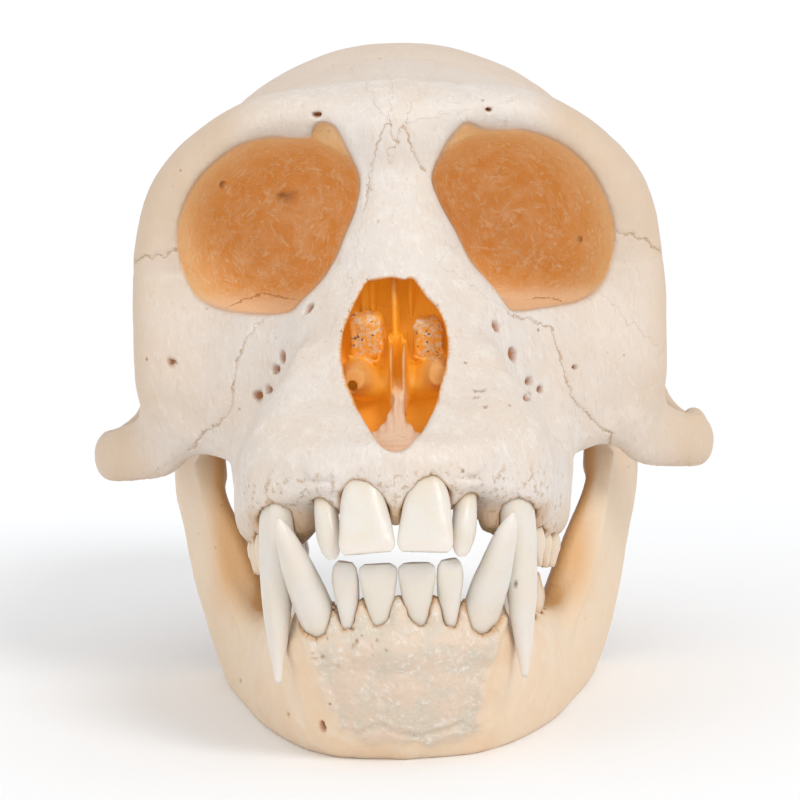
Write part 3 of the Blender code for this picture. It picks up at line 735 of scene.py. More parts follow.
def finish_tooth(mesh, name, side):
    """Small unevenness, the lean of the snout, and the masks."""
    points, normals = points_of(mesh), normals_of(mesh)
    seed = sum(map(ord, name + side))
    height = 0.05 * rumple(points, 2.2, seed) + 0.015 * rumple(points, 0.7, seed + 1)
    points = points + normals * height[:, None]
    points[:, 0] += lean(points[:, 1])
    x, y, z = points.T
    spots = opening_distance(*seen(x, y, z), TOOTH_SPOTS)
    points -= normals * (0.12 * ease(spots, 1.4, 0.7) * facing(mesh))[:, None]
    set_points(mesh, points)
    way = 1 if name.startswith("lower") else -1
    if name in FRONT_TEETH:
        tip, gum = FRONT_TEETH[name][1][-1][2], GUM_LINES.get(name, LOWER_GUM_LINE)
    else:
        neck = cheek_frame(name, 1)[0][2]
        tip, gum = neck + way * CROWN_HEIGHT, neck
    rise = (z - gum) / (tip - gum)
    masks = {
        "root": ease(rise, 0.3, -0.05),
        "below_gum": ease(rise, 0.1, -0.12),
        "tip": ease(rise, 0.7, 1.0),
        "spot": ease(spots, 1.4, 0.8),
        "back": ease(y, 8, 12) * (name not in FRONT_TEETH),
    }
    set_masks(mesh, masks)


def build_teeth():
    for name, side in every_tooth():
        mesh = front_tooth_mesh(name, side) if name in FRONT_TEETH else cheek_tooth_mesh(name, side)
        finish_tooth(mesh, name, side)
        tooth = object_from(mesh)
        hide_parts(f"{name}_{side}")
        mesh.materials.append(enamel())


# Cranium

def muzzle():
    """The snout from the front teeth back to the nose's root, broad at the gums and narrow on top."""
    # Each station is y, foot z, top z, half width at the foot and half width on top
    stations = [(0.9, 29.8, 30.4, 4.6, 4), (2.2, 29.2, 31.8, 6.6, 5.8), (4.6, 28.8, 33.9, 9.4, 8),
                (9, 27, 38.4, 12.6, 8.4), (14, 24.6, 43.8, 14.4, 8), (19.5, 22.6, 49.6, 16, 7),
                (25, 21.4, 57.4, 17, 6), (31, 20.6, 60, 17, 6), (38, 20, 54, 15.6, 8)]
    path = smooth_path(stations, 6)

    def distance(x, y, z):
        foot, top, wide, narrow = (np.interp(y, path[:, 0], path[:, n]) for n in range(1, 5))
        middle, half_height = (top + foot) / 2, (top - foot) / 2
        height = (z - middle) / half_height
        half_width = (wide + narrow) / 2 - (wide - narrow) / 2 * np.clip(height, -1.2, 1.2)
        a, b = np.abs(x) / half_width + 1e-4, np.abs(height) + 1e-4
        size = (a**2.5 + b**2.5) ** 0.4
        slope = np.sqrt(((a / size) ** 1.5 / half_width) ** 2 + ((b / size) ** 1.5 / half_height) ** 2)
        ends = np.maximum(path[0, 0] - y, y - path[-1, 0])
        return np.maximum((size - 1) / slope, ends)

    return np.array((-18, 0, 18)), np.array((18, 38, 62)), distance


def gather_gum_points(clay):
    """Bone that reaches down between the upper front teeth, and crumbs beside the canines."""
    points = [(0, 0.7, 28.2, 1.4, 2.7), (6.0, 2.2, 28.2, 1.2, 1.9), (9.5, 5.2, 26.6, 1.5, 3.0)]
    for x, y, z, wide, reach in points:
        clay.add(ellipsoid((x, y, z), (wide, 1.4, reach)), 0.8)
    crumbs = np.random.default_rng(5)
    for _ in range(16):
        x, y, z = crumbs.uniform((8.4, 3.2, 24.0), (10.9, 5.4, 30))
        clay.add(ellipsoid((x, y, z), crumbs.uniform(0.3, 0.7, 3), turn=crumbs.uniform(0, 3)), 0.3)


def gather_braincase(clay):
    tip = -CRANIUM_TIP_UP
    clay.add(ellipsoid((0, 65, 46.9), (25.5, 32.5, 22.8), tip), both_sides=False)
    clay.add(ellipsoid((0, 44.5, 54), (20.8, 17.4, 14.3), tip), 3, both_sides=False)
    clay.add(ellipsoid((0, 83, 38), (20, 14, 13.6), tip), 4, both_sides=False)


def gather_face(clay):
    """The walls round the eye sockets, the muzzle, the brow, the cheeks and their arches."""
    clay.add(ellipsoid((13.8, 42, 52.4), (12.4, 11, 11.8), turn=-0.3), 2.5)
    clay.add(ellipsoid((0, 36, 47), (9, 8, 18)), both_sides=False)
    clay.add(muzzle(), 4, both_sides=False)
    brow = [(0, 30.8, 63.4, 3.2, 4.6), (7, 31.2, 64.9, 2.4, 4.4), (13, 32.6, 64.5, 2.3, 4.4),
            (17.4, 33.8, 62.7, 2.3, 3.8), (21, 34.6, 59.8, 2.2, 2.8), (24.1, 36.2, 56, 2.1, 2.8),
            (25.8, 37.2, 51, 2.2, 2.8), (26, 37.4, 46, 2.7, 2.8), (25.3, 37, 41, 3, 3),
            (24.7, 36.6, 36.5, 3.2, 3)]
    clay.add(band(brow, BACKWARDS), 5)
    cheek = [(6, 24, 41, 4, 6), (11, 28, 37.6, 4, 8.4), (16, 31.6, 35.8, 3.8, 8.6),
             (20.5, 34.8, 35.8, 3.4, 8), (24.6, 37.4, 36, 2.8, 8)]
    clay.add(band(cheek), 5)
    arch = [(24.6, 37.2, 33, 2.9, 5.6), (26.9, 40, 28.6, 2.1, 3.8), (31.4, 44.4, 26.6, 1.8, 2.9),
            (32.8, 48.8, 26.1, 1.8, 2.8), (31.3, 53.6, 26, 1.8, 2.7), (28.8, 58.6, 27.8, 1.9, 2.6),
            (26.6, 63.6, 32.4, 2.3, 2.7), (23.5, 69, 36, 3.4, 3)]
    clay.add(band(arch), 1.5)


def gather_upper_gum(clay):
    """The bone that holds the upper teeth, with the swellings over the canine roots."""
    gum = [(0, 3.9, 31.1, 4.4, 2.9), (5.5, 4.7, 31, 4.4, 3.1), (10, 8.1, 30, 4.6, 4.2),
           (12.4, 14, 27.1, 3.9, 5.8), (13.4, 21, 25.6, 4.1, 5.6), (13.6, 28, 24.4, 4.2, 5.3),
           (13, 37.8, 23.2, 3.8, 4.8)]
    clay.add(band(gum, squareness=3.2), 2.5)
    slope = [(0, 6.6, 32.8, 2.6, 2.0), (5.5, 7.4, 33.4, 3.2, 2.6), (9.4, 10.2, 33.4, 3.4, 3.2),
             (11.6, 15, 32.4, 3.4, 4.5)]
    clay.add(band(slope), 3)
    canine_root = [(12.1, 8, 28, 2.6, 2.8), (11.3, 10, 32, 2.5, 2.8), (10.2, 13, 36, 2, 2.4),
                   (9.2, 16.5, 40, 1.2, 1.4)]
    clay.add(band(canine_root, BACKWARDS), 3.5)
    gather_gum_points(clay)


def gather_skull_base(clay):
    """Behind the teeth and under the braincase: ear region, nape crest, floor, condyles and plates."""
    clay.add(ellipsoid((14.6, 30.5, 29), (3.1, 5, 7), turn=0.3), 2)
    # The right arch has a small corner on top
    clay.add(ellipsoid((32.2, 46.5, 28.8), (1.2, 2.6, 1.2)), 1, both_sides=False)
    clay.add(ellipsoid((22.2, 64.5, 35.6), (6.6, 7, 4.2)), 2)
    clay.add(ellipsoid((21, 74.5, 31), (6, 6.6, 6)), 2)
    clay.add(ellipsoid((10, 64, 27.5), (5, 8.5, 4)), 1.5)
    crest = [(24, 70, 37, 1.8, 1.8), (23, 78, 37, 1.8, 1.6), (17, 88.6, 37.2, 1.8, 1.6),
             (8, 94.6, 38, 1.8, 1.6), (0, 96, 38.6, 1.8, 1.8)]
    clay.add(band(crest), 1.5)
    base = [(0, 40, 37, 5, 4), (0, 50, 34.6, 6, 4.5), (0, 62, 29.6, 8, 4), (0, 71, 25.4, 7, 3)]
    clay.add(band(base), 2, both_sides=False)
    clay.add(ellipsoid((6.6, 73.5, 22.6), (2.6, 4.8, 2.8)), 1.2)
    wing = [(21, 7.6, 40.5, 8.6, 44.5, 1.3), (26, 7.8, 40, 8.8, 47, 1.5), (32, 8, 39, 9.4, 50, 2.2),
            (38, 9, 38, 10.4, 53, 3)]
    clay.add(upright_plate(wing), 1.5)


def gather_cranium(clay):
    gather_braincase(clay)
    gather_face(clay)
    gather_upper_gum(clay)
    gather_skull_base(clay)


def eye_socket(side):
    """A bowl that narrows from the rim to the back of the eye socket."""
    outline = smooth_path(EYE_RIMS[side], 3, closed=True)
    flip = SIDES[side]
    bowl = [(x, min(z, 62.4 - 0.6 * max(0, 9 - abs(x)))) for x, z in EYE_RIMS[side]]
    bowl = smooth_path(bowl, 3, closed=True)

    def distance(x, y, z):
        x_seen, z_seen = seen(x + lean(y), y, z)
        depth = np.clip((y - EYE_SOCKET_MOUTH_Y) / EYE_SOCKET_DEPTH, 0, 0.995)
        size = (1 - depth**EYE_SOCKET_ROUNDNESS) ** (1 / EYE_SOCKET_ROUNDNESS)
        x_now = EYE_SOCKET_MIDDLE_X + (EYE_SOCKET_BACK_X - EYE_SOCKET_MIDDLE_X) * depth
        across = (x_seen - x_now * flip) / size + EYE_SOCKET_MIDDLE_X * flip
        above = (z_seen - EYE_SOCKET_MIDDLE_Z) / size + EYE_SOCKET_MIDDLE_Z
        inner = ease(y, 33, 37)
        found = (1 - inner) * outline_distance(across, above, outline)
        found = found + inner * outline_distance(across, above, bowl)
        return np.maximum(found * size, y - EYE_SOCKET_MOUTH_Y - EYE_SOCKET_DEPTH)

    low, high = np.array((2, 8, 42)), np.array((25.5, 49, 66))
    if flip < 0:
        low[0], high[0] = -high[0], -low[0]
    return low, high, distance


def nose_rim_depth(z):
    """How far back the rim of the nose opening lies at this height."""
    return NOSE_RIM_Y + (z - NOSE_RIM_Z) * NOSE_RIM_SLOPE


def nose_hollow():
    """The pear-shaped opening, widening a little behind its rim."""
    outline = smooth_path(NOSE_RIM, 2, closed=True)

    def distance(x, y, z):
        x_seen, z_seen = seen(x + lean(y), y, z)
        size = 1 + NOSE_FLARE * ease(y - nose_rim_depth(z), 3.2, 6)
        found = outline_distance((x_seen + 0.5) / size - 0.5, (z_seen - 38) / size + 38, outline)
        return np.maximum(found, y - nose_rim_depth(z) - NOSE_DEPTH)

    return np.array((-7.5, -2, 28)), np.array((7, 30, 52)), distance


def add_spurs(clay):
    """A small spur at the inner end of each eye socket's upper rim."""
    spurs = [((-11.2, 63.4), (-9.8, 63.0), (-8.7, 62.5)), ((12.6, 63.5), (11.0, 63.4), (9.7, 63.1))]
    for spur in spurs:
        rod = [(*behind(x, z, 30.4), half, half) for (x, z), half in zip(spur, (0.9, 0.65, 0.25))]
        clay.add(band(rod), 0.6, both_sides=False)


def cut_cranium(clay):
    for side in SIDES:
        clay.cut(eye_socket(side), 0.4, both_sides=False)
    add_spurs(clay)
    clay.cut(nose_hollow(), 0.3, both_sides=False)
    clay.cut(ellipsoid((0, 71.5, 46), (22.6, 20.5, 19.4), -CRANIUM_TIP_UP), both_sides=False)
    spinal = [(0, 81, 12, 5.6, 6.4), (0, 77, 34, 5.6, 6.4)]
    clay.cut(band(spinal, BACKWARDS, 40), 0.8, both_sides=False)
    clay.cut(ellipsoid((0, 26, 21), (9.2, 19, 6.6), -0.17), 1, both_sides=False)


def gather_nose_floor_and_walls(clay):
    """The pale floor, the middle wall and the thin sheets beside it."""
    floor = [(-0.1, 4.0, 30.9, 4.6, 1.0), (-0.1, 6.4, 32.0, 4.4, 0.9), (-0.1, 8.2, 32.9, 3.2, 0.9),
             (0.0, 9.6, 33.7, 1.8, 0.9), (0.0, 11.2, 34.6, 1.0, 0.9), (0.1, 13.4, 35.8, 0.6, 0.9),
             (0.1, 16.5, 37.4, 0.4, 0.9)]
    clay.add(band(floor), 0.6, both_sides=False)
    for x in (-0.75, 0.65):
        clay.add(ellipsoid(behind(x, 36.6, 20.5), (0.22, 6.5, 3.8), squareness=4), 0.5, both_sides=False)
    clay.add(ellipsoid(behind(-0.25, 42, 26), (0.55, 5.8, 8.5), squareness=3), 1.2, both_sides=False)
    for x, z, half in ((-2.1, 44.2, 0.4), (1.9, 44, 0.4), (-3.2, 43.6, 0.35)):
        scroll = ellipsoid(behind(x, z, 27.5), (half, 5, 5), turn=-0.1, squareness=3)
        clay.add(scroll, 1.0, both_sides=False)


def gather_nose_scrolls(clay):
    """The round scrolls, the crusted blocks over them, and the ledges between."""
    clay.add(ellipsoid(behind(-4.7, 36.5, 17.5), (2.0, 5, 2.0)), 1.2, both_sides=False)
    clay.add(ellipsoid(behind(-2.7, 35.9, 20), (2.1, 5, 1.8)), 1.6, both_sides=False)
    clay.add(ellipsoid(behind(4.2, 36.8, 17.5), (1.7, 5, 1.9)), 1.2, both_sides=False)
    clay.add(ellipsoid(behind(2.4, 36.1, 20), (2.0, 5, 2.0)), 1.6, both_sides=False)
    clay.add(ellipsoid(behind(-3.5, 41.0, 20.5), (1.8, 1.7, 2.4), squareness=6), 0.5, both_sides=False)
    clay.add(ellipsoid(behind(3.2, 40.6, 20.5), (1.6, 1.7, 2.2), squareness=6), 0.5, both_sides=False)
    ledges = [[(-5.4, 38.8), (-3.6, 38.5), (-2.4, 38.2), (-2.1, 39.2)],
              [(1.6, 38.6), (2.8, 38.3), (4.4, 38.6)]]
    for ledge in ledges:
        rod = [(*behind(x, z, 17.5), 0.22, 0.2) for x, z in ledge]
        clay.add(band(rod), 0.3, both_sides=False)
    clay.cut(ellipsoid(behind(-5.2, 35.5, 12.5), (0.5, 3.0, 0.6)), 0.2, both_sides=False)


def trim_nose_passages(clay):
    """Nothing in the nose shows outside its opening or in front of its rim."""
    x, y, z = clay.axes[0][:, None, None], clay.axes[1][None, :, None], clay.axes[2][None, None, :]
    outline = smooth_path(NOSE_RIM, 2, closed=True)
    beside = outline_distance(*seen(x + lean(y), y, z), outline) - 0.9
    in_front = nose_rim_depth(z) + 0.6 + 2.6 * ease(z, 32.5, 38) - y
    clay.field = np.maximum(clay.field, np.maximum(beside, in_front))


def build_nose_passages():
    clay = Clay((-7.5, 3.5, 28), (7, 30.5, 52), NOSE_STEP)
    gather_nose_floor_and_walls(clay)
    gather_nose_scrolls(clay)
    trim_nose_passages(clay)
    mesh = mesh_from("nose_passages", *clay.skin())
    now = triangle_count(mesh)
    if now > NOSE_TRIANGLES:
        mesh = collapse(mesh, NOSE_TRIANGLES / now)
    return mesh


def cut_sockets(clay, jaw):
    for name, side in every_tooth():
        if name.startswith(jaw):
            clay.cut(tooth_form(name, side, TOOTH_GAP), 0.35, both_sides=False)


def collapse(mesh, ratio, spared=None):
    """Brings a mesh down to this share of its triangles, and leaves the spared points alone."""
    obj = bpy.data.objects.new("thinning", mesh)
    bpy.context.scene.collection.objects.link(obj)
    decimate = obj.modifiers.new("thin", "DECIMATE")
    decimate.ratio = ratio
    if spared is not None:
        group = obj.vertex_groups.new(name="thinned")
        group.add(np.nonzero(~spared)[0].tolist(), 1.0, "REPLACE")
        decimate.vertex_group = group.name
        decimate.vertex_group_factor = 1000
    name = mesh.name
    graph = bpy.context.evaluated_depsgraph_get()
    thinned = bpy.data.meshes.new_from_object(obj.evaluated_get(graph))
    bpy.data.objects.remove(obj)
    bpy.data.meshes.remove(mesh)
    thinned.name = name
    return thinned


def triangle_count(mesh):
    return sum(len(face.vertices) - 2 for face in mesh.polygons)


def thin_cranium(mesh):
    """Thins what is seldom seen first, then whatever lies flattest."""
    behind = points_of(mesh)[:, 1] > 42
    share = behind.mean()
    mesh = collapse(mesh, 1 - share * (1 - BACK_SHARE), ~behind)
    now = triangle_count(mesh)
    if now > CRANIUM_TRIANGLES:
        mesh = collapse(mesh, CRANIUM_TRIANGLES / now)
    return mesh


def facing(mesh):
    """1 where the skin faces the photographer."""
    return ease(-(normals_of(mesh) @ LOOK), 0.0, 0.25)


def refine_cranium(mesh):
    for reach in (0.9, 0.5):
        x, y, z = points_of(mesh).T
        x_seen, z_seen = seen(x, y, z)
        near = np.abs(line_distance(x_seen, z_seen, SUTURES)) < reach
        near |= opening_distance(x_seen, z_seen, FORAMINA) < 2.5
        refine(mesh, near & (y < 46) & (facing(mesh) > 0))


def socket_mask(x, y, z):
    """1 on the walls of the eye sockets."""
    x_seen, z_seen = seen(x, y, z)
    found = np.zeros(len(x))
    for side in SIDES:
        distance = eye_socket(side)[2](x - lean(y), y, z)
        outline = outline_distance(x_seen, z_seen, smooth_path(EYE_RIMS[side], 3, closed=True))
        found = np.maximum(found, ease(np.abs(distance), 0.9, 0.4) * ease(outline, 0.02, -0.35))
    return found


def nose_mask(x, y, z):
    """1 on the walls of the nose opening."""
    x_seen, z_seen = seen(x, y, z)
    outline = outline_distance(x_seen, z_seen, smooth_path(NOSE_RIM, 2, closed=True))
    hollow = nose_hollow()[2](x - lean(y), y, z)
    walls = ease(np.abs(hollow), 0.25, 0.1) * ease(outline, 1.6, 1.3)
    found = np.maximum(ease(outline, 0.05, -0.15), walls)
    return found * (ease(y, 31.5, 30.5) * ease(y - nose_rim_depth(z), -2.5, -1.5))


def cranium_warmth_and_shade(x, y, z, z_seen):
    """How much yellower and darker the bone is at the arches, the back, the brow's ends, the cheeks and the
    gums: partly the bone's own tone, partly painted shade where it turns away from the front.
    """
    aside = np.abs(x)
    found = 0.8 * ease(aside, 25, 33) + 0.3 * ease(y, 30, 38) + 0.4 * ease(y, 40, 62)
    found += 0.8 * ease(aside, 12, 20) * ease(z, 46, 56) * ease(y, 52, 38)
    found += 0.3 * ease(aside, 14, 20) * ease(z, 30, 34) * ease(y, 52, 38)
    found += 0.6 * ease(z_seen, 23.5, 21) * ease(y, 34, 24)
    return found


def stained_gum(y, z_seen):
    """How brown the lowest edge of the upper gum is."""
    front_row = 0.65 * ease(z_seen, 23.4, 21.6) * ease(y, 11, 9)
    return front_row + 0.35 * ease(z_seen, 21, 19.5) * ease(y, 30, 24)


def carve_cranium(mesh):
    """Grooves along the sutures, small openings, and the skin's unevenness; then the masks."""
    points, normals, front = points_of(mesh), normals_of(mesh), facing(mesh)
    x, y, z = points.T
    x_seen, z_seen = seen(x, y, z)
    front = front * ease(y, 50, 48)
    socket, nose = socket_mask(x, y, z), nose_mask(x, y, z)
    suture = np.clip(line_distance(x_seen, z_seen, SUTURES), -LINE_REACH, LINE_REACH)
    crack = np.clip(line_distance(x_seen, z_seen, CRACKS), -LINE_REACH, LINE_REACH)
    opening = opening_distance(x_seen, z_seen, FORAMINA)
    # The small openings are painted dark as well: painted shade where their depth would lie in shadow.
    shaded_pit = ease(opening, 1.45, 0.9) * front
    skin = 1 - np.maximum(socket, nose)
    height = 0.11 * rumple(points, 5, 11) * skin + 0.05 * rumple(points, 1.8, 12)
    height += 0.025 * rumple(points, 0.8, 13)
    gums = ease(z_seen, 28, 25) * front * skin
    height += gums * (0.08 * rumple(points, 1.0, 14) + 0.05 * rumple(points, 0.55, 15))
    height -= SUTURE_DEPTH * ease(np.abs(suture), 0.28, 0.05) * front * skin
    height -= CRACK_DEPTH * ease(np.abs(crack), 0.2, 0.05) * socket
    height -= PIT_DEPTH * shaded_pit
    height -= 0.12 * ease(opening, 2.4, 1.2) * front
    set_points(mesh, points + normals * height[:, None])
    masks = {
        "socket": socket,
        # socket_depth carries the deeper orange, partly painted warm shade
        "socket_depth": ease(y, 36, 46) * socket,
        "socket_floor": ease(z_seen, 46.5, 44.5) * socket,
        "nose": nose,
        # nose_depth carries the deeper orange, partly painted warm shade
        "nose_depth": ease(y - nose_rim_depth(z), 3, 7.5) * nose,
        "suture": np.where(front > 0.1, suture, LINE_REACH),
        "crack": np.where(front > 0.1, crack, LINE_REACH),
        # shaded_pit also darkens the openings' colour as painted shade
        "shaded_pit": shaded_pit,
        "gum": gums,
        "neck": np.maximum(tooth_nearness(points, "upper"), stained_gum(y, z_seen)),
        # warm_and_shade is partly the bone's own tone and partly painted shade towards the sides and back
        "warm_and_shade": np.clip(cranium_warmth_and_shade(x, y, z, z_seen), 0, 1) * skin,
    }
    set_masks(mesh, masks)


def tooth_nearness(points, jaw):
    """1 where bone meets a tooth, and 0 from half a millimetre on."""
    found = np.full(len(points), FAR)
    for name, side in every_tooth():
        if not name.startswith(jaw):
            continue
        form = tooth_form(name, side)
        close = np.all((points > form[0] - 1.5) & (points < form[1] + 1.5), axis=1)
        chosen = points[close]
        unleant = chosen - np.outer(lean(chosen[:, 1]), RIGHT)
        found[close] = np.minimum(found[close], links_distance(form, unleant))
    return ease(found, 0.5, 0.2)


def carve_nose(mesh):
    """The crusts and ridges inside the nose, and their masks."""
    points, normals = points_of(mesh), normals_of(mesh)
    x, y, z = points.T
    x_seen, z_seen = seen(x, y, z)
    crust = np.zeros(len(x))
    for middle_x, middle_z in ((-3.5, 41.0), (3.2, 40.6)):
        away = np.sqrt(((x_seen - middle_x) / 1.9) ** 2 + ((z_seen - middle_z) / 2.6) ** 2)
        crust = np.maximum(crust, ease(away + 0.25 * rumple(points, 0.9, 25), 1.1, 0.9))
    half = np.interp(z_seen, (28, 30.5, 32, 33.2, 34.5, 37), (6, 5, 3, 1.5, 0.75, 0.35))
    floor = ease(np.abs(x_seen + 0.1) - half, 0.25, -0.1) * ease(y, 17, 14)
    pale = floor * (1 - 0.5 * ease(z_seen, 34, 36))
    height = 0.22 * crust * (rumple(points, 0.55, 21) + 0.6 * rumple(points, 0.3, 22))
    height += 0.1 * floor * np.sin(x_seen * 7.5 + rumple(points, 2, 23)) + 0.03 * rumple(points, 0.7, 24)
    set_points(mesh, points + normals * height[:, None])
    full = np.ones(len(x))
    masks = {
        "nose": full,
        "crust": crust,
        # nose_depth carries the deeper orange, partly painted warm shade
        "nose_depth": ease(y - nose_rim_depth(z), 3, 7.5),
        "pale": pale,
        "suture": LINE_REACH * full,
        "crack": LINE_REACH * full,
    }
    set_masks(mesh, masks)


CRANIUM_MASKS = ("socket", "socket_depth", "socket_floor", "nose", "nose_depth", "suture", "crack", "shaded_pit",
                 "gum", "neck", "warm_and_shade", "crust", "pale")


def build_cranium():
    clay = Clay((-36.5, -3.5, 18), (36.5, 99.5, 73), CRANIUM_STEP)
    gather_cranium(clay)
    cut_cranium(clay)
    cut_sockets(clay, "upper")
    shell = thin_cranium(mesh_from("cranium_shell", *clay.skin()))
    lean_snout(shell)
    refine_cranium(shell)
    carve_cranium(shell)
    inner = build_nose_passages()
    lean_snout(inner)
    carve_nose(inner)
    mesh = joined("cranium_bone", shell, inner)
    for name in CRANIUM_MASKS:
        set_mask(mesh, name, np.concatenate((mask_of(shell, name), mask_of(inner, name))))
    cranium = object_from(mesh)
    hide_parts("cranium")
    cranium.data.materials.append(bone())


# Lower jaw

def jaw_body():
    """The tooth-bearing bar of one side, from its middle to the angle."""
    # Each station is the top edge's x, y, z, the base's x, y, z, then half the thickness
    stations = [(0, 3.4, 15.7, 0, 14, -1.6, 3.8), (4.6, 4.2, 15.6, 4, 14.6, -1.6, 3.8),
                (7.9, 6.9, 15.2, 7.6, 17, -1.6, 3.6), (9.8, 11, 14.5, 10.2, 21, -1.6, 3.4),
                (10.9, 16, 13.4, 12.4, 26, -1.6, 3.4), (11.9, 23, 12.2, 14.2, 31, -1.6, 3.4),
                (12.8, 31, 10.8, 15.8, 37.5, -1.6, 3.4), (15.4, 38, 9.2, 17, 44, -1.5, 3.1),
                (18.2, 45, 8, 17.8, 51, -1.2, 2.4)]
    path = smooth_path(stations, 10)
    tops, feet = path[:, :3], path[:, 3:6]
    links = []
    for i, p in enumerate(path):
        before, after = max(i - 1, 0), min(i + 1, len(path) - 1)
        ahead = RIGHT if i == 0 else unit(tops[after] + feet[after] - tops[before] - feet[before])
        up = unit(tops[i] - feet[i])
        out = unit(np.cross(up, ahead))
        reach = np.linalg.norm(tops[i] - feet[i]) / 2
        axes = np.column_stack((out, up, np.cross(out, up)))
        links.append(((tops[i] + feet[i]) / 2, axes, np.array((p[6], reach, 1.6))))
    return chain(links, 2.8)


def gather_jaw_front(clay):
    """The tooth-bearing bars, the canine roots, and the bone in front of and between the front teeth."""
    clay.add(jaw_body(), 1)
    canine_root = [(9.4, 6.4, 13, 1.9, 2.2), (9.0, 7.8, 9, 1.9, 2.1), (7.9, 10, 5, 1.6, 1.7),
                   (6.6, 12, 1.4, 1.3, 1.3)]
    clay.add(band(canine_root, BACKWARDS), 2)
    cover = [(0, 3.3, 13.4, 2.2, 2.2), (3.6, 3.8, 13.4, 2.2, 2.2), (6.2, 4.8, 13.2, 2.2, 2.2),
             (8.2, 5.6, 12.9, 2.3, 2.2), (9.6, 7.6, 12.4, 2, 2)]
    clay.add(band(cover), 1.5)
    for x, y, z in ((0, 2.3, 15.6), (3.6, 2.8, 15.6), (6.7, 3.8, 15), (10.2, 6.6, 14)):
        clay.add(ellipsoid((x, y, z), (0.75, 1.3, 2.2)), 0.6)


def gather_jaw_branches(clay):
    """Each side's rising branch, with its blade in front and its knob at the hinge."""
    branch = [(-1, 16.6, 44, 19.4, 55, 1.6), (2, 16, 39.5, 20.9, 57.8, 2.2),
              (8, 15.6, 37.6, 22.9, 60.5, 2.6), (15, 17.6, 39.4, 24.7, 62.5, 2.1),
              (21, 20.2, 42.4, 26.1, 63.8, 1.5), (25, 21.0, 44.6, 25, 64.5, 1.3),
              (27, 21.2, 45.6, 24.2, 64.6, 1.3)]
    clay.add(upright_plate(branch), 2)
    # A ridge runs down the outside of the branch near its front edge
    ridge = [(22.4, 45.5, 25, 0.9, 0.9), (20.8, 42.6, 18, 1.1, 1.1), (19, 39.8, 12, 1.3, 1.3),
             (16.8, 36, 8, 1.2, 1.2)]
    clay.add(band(ridge, BACKWARDS), 1.5)
    blade = [(24, 20.7, 44.4, 22.4, 54, 1.4), (29, 21.2, 46.4, 22.4, 53, 1.4),
             (33, 21.6, 48.6, 22.4, 53, 1.2), (35, 22, 50.4, 22.2, 52.8, 0.9)]
    clay.add(upright_plate(blade), 1)
    knob = [(22, 23.4, 57.6, 24.3, 64.2, 1.9), (26, 23, 58.4, 23.6, 64.4, 2.2),
            (28.4, 22.2, 59.2, 22.6, 64, 3)]
    clay.add(upright_plate(knob), 1)
    clay.add(ellipsoid((21.7, 61.9, 28.5), (4.3, 2.6, 2.3), turn=0.15), 1)


def gather_jaw(clay):
    gather_jaw_front(clay)
    gather_jaw_branches(clay)


def refine_jaw(mesh):
    x, y, z = points_of(mesh).T
    x_seen, z_seen = seen(x, y, z)
    near = opening_distance(x_seen, z_seen, JAW_FORAMINA) < 2.5
    refine(mesh, near & (y < 40) & (facing(mesh) > 0))
    x, y, z = points_of(mesh).T
    x_seen, z_seen = seen(x, y, z)
    refine(mesh, (outline_distance(x_seen, z_seen, CHALK_OUTLINE) < 0.3) & (y < 16) & (facing(mesh) > 0))


def carve_jaw(mesh):
    """The rough front, the small openings, and the masks."""
    points, normals, front = points_of(mesh), normals_of(mesh), facing(mesh)
    x, y, z = points.T
    x_seen, z_seen = seen(x, y, z)
    edge = outline_distance(x_seen, z_seen, CHALK_OUTLINE) + 0.5 * rumple(points, 1.6, 31)
    chalk = ease(edge, 0.5, -0.5) * ease(y, 18, 15) * front
    opening = opening_distance(x_seen, z_seen, JAW_FORAMINA)
    # The small openings are painted dark as well: painted shade where their depth would lie in shadow.
    shaded_pit = ease(opening, 1.25, 0.75) * front * ease(y, 45, 40)
    height = 0.1 * rumple(points, 5, 32) + 0.05 * rumple(points, 1.8, 33)
    height += chalk * (0.2 + 0.09 * rumple(points, 1.4, 34) + 0.07 * rumple(points, 0.6, 35))
    pores = ease(rumple(points, 0.5, 36), 0.5, 0.8) * chalk * ease(z_seen, 4, 7) * ease(x_seen, 1, -4)
    height -= 0.25 * pores + JAW_PIT_DEPTH * shaded_pit
    ledge = np.abs(line_distance(x_seen, z_seen, [CHALK_LEDGE]))
    height -= 0.3 * ease(ledge, 0.5, 0.1) * chalk
    side_ridge = np.abs(line_distance(x_seen, z_seen, CHALK_SIDES))
    beyond = outline_distance(x_seen, z_seen, CHALK_OUTLINE)
    front_only = ease(y, 20, 16) * front
    height += 0.35 * ease(side_ridge, 0.9, 0.1) * front_only
    height -= 0.45 * ease(np.abs(beyond - 1.5), 1.2, 0.2) * front_only * ease(z_seen, -1.5, 1)
    height *= ease(z - FLOOR_Z, 0.05, 1.2)
    set_points(mesh, points + normals * height[:, None])
    # Painted shade: the inner faces of the branches and the shaded gap beside the upper jaw are painted deep
    # orange.
    inner_shade = ease(normals[:, 0] * np.sign(x), 0.1, -0.4) * ease(y, 14, 22)
    shaded = ease(np.abs(x_seen + 0.4), 21.5, 18.5) * ease(z_seen, 9, 17) * ease(y, 30, 36)
    inner_shade = np.maximum(inner_shade, shaded)
    masks = {
        "chalk": chalk,
        "pores": pores,
        "shaded_pit": shaded_pit,
        "inner_shade": inner_shade,
        "neck": tooth_nearness(points, "lower"),
        "behind": ease(y, 16, 40),
    }
    set_masks(mesh, masks)


def build_jaw():
    clay = Clay((-29, -1, -2.4), (29, 69, 38), JAW_STEP)
    gather_jaw(clay)
    cut_sockets(clay, "lower")
    above_floor = clay.axes[2][None, None, :] - FLOOR_Z
    clay.field = np.maximum(clay.field, -above_floor)
    mesh = mesh_from("lower_jaw_bone", *clay.skin())
    now = triangle_count(mesh)
    if now > JAW_TRIANGLES:
        mesh = collapse(mesh, JAW_TRIANGLES / now)
    lean_snout(mesh)
    refine_jaw(mesh)
    carve_jaw(mesh)
    jaw = object_from(mesh)
    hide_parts("lower_jaw")
    mesh.materials.append(jaw_bone())


# Materials

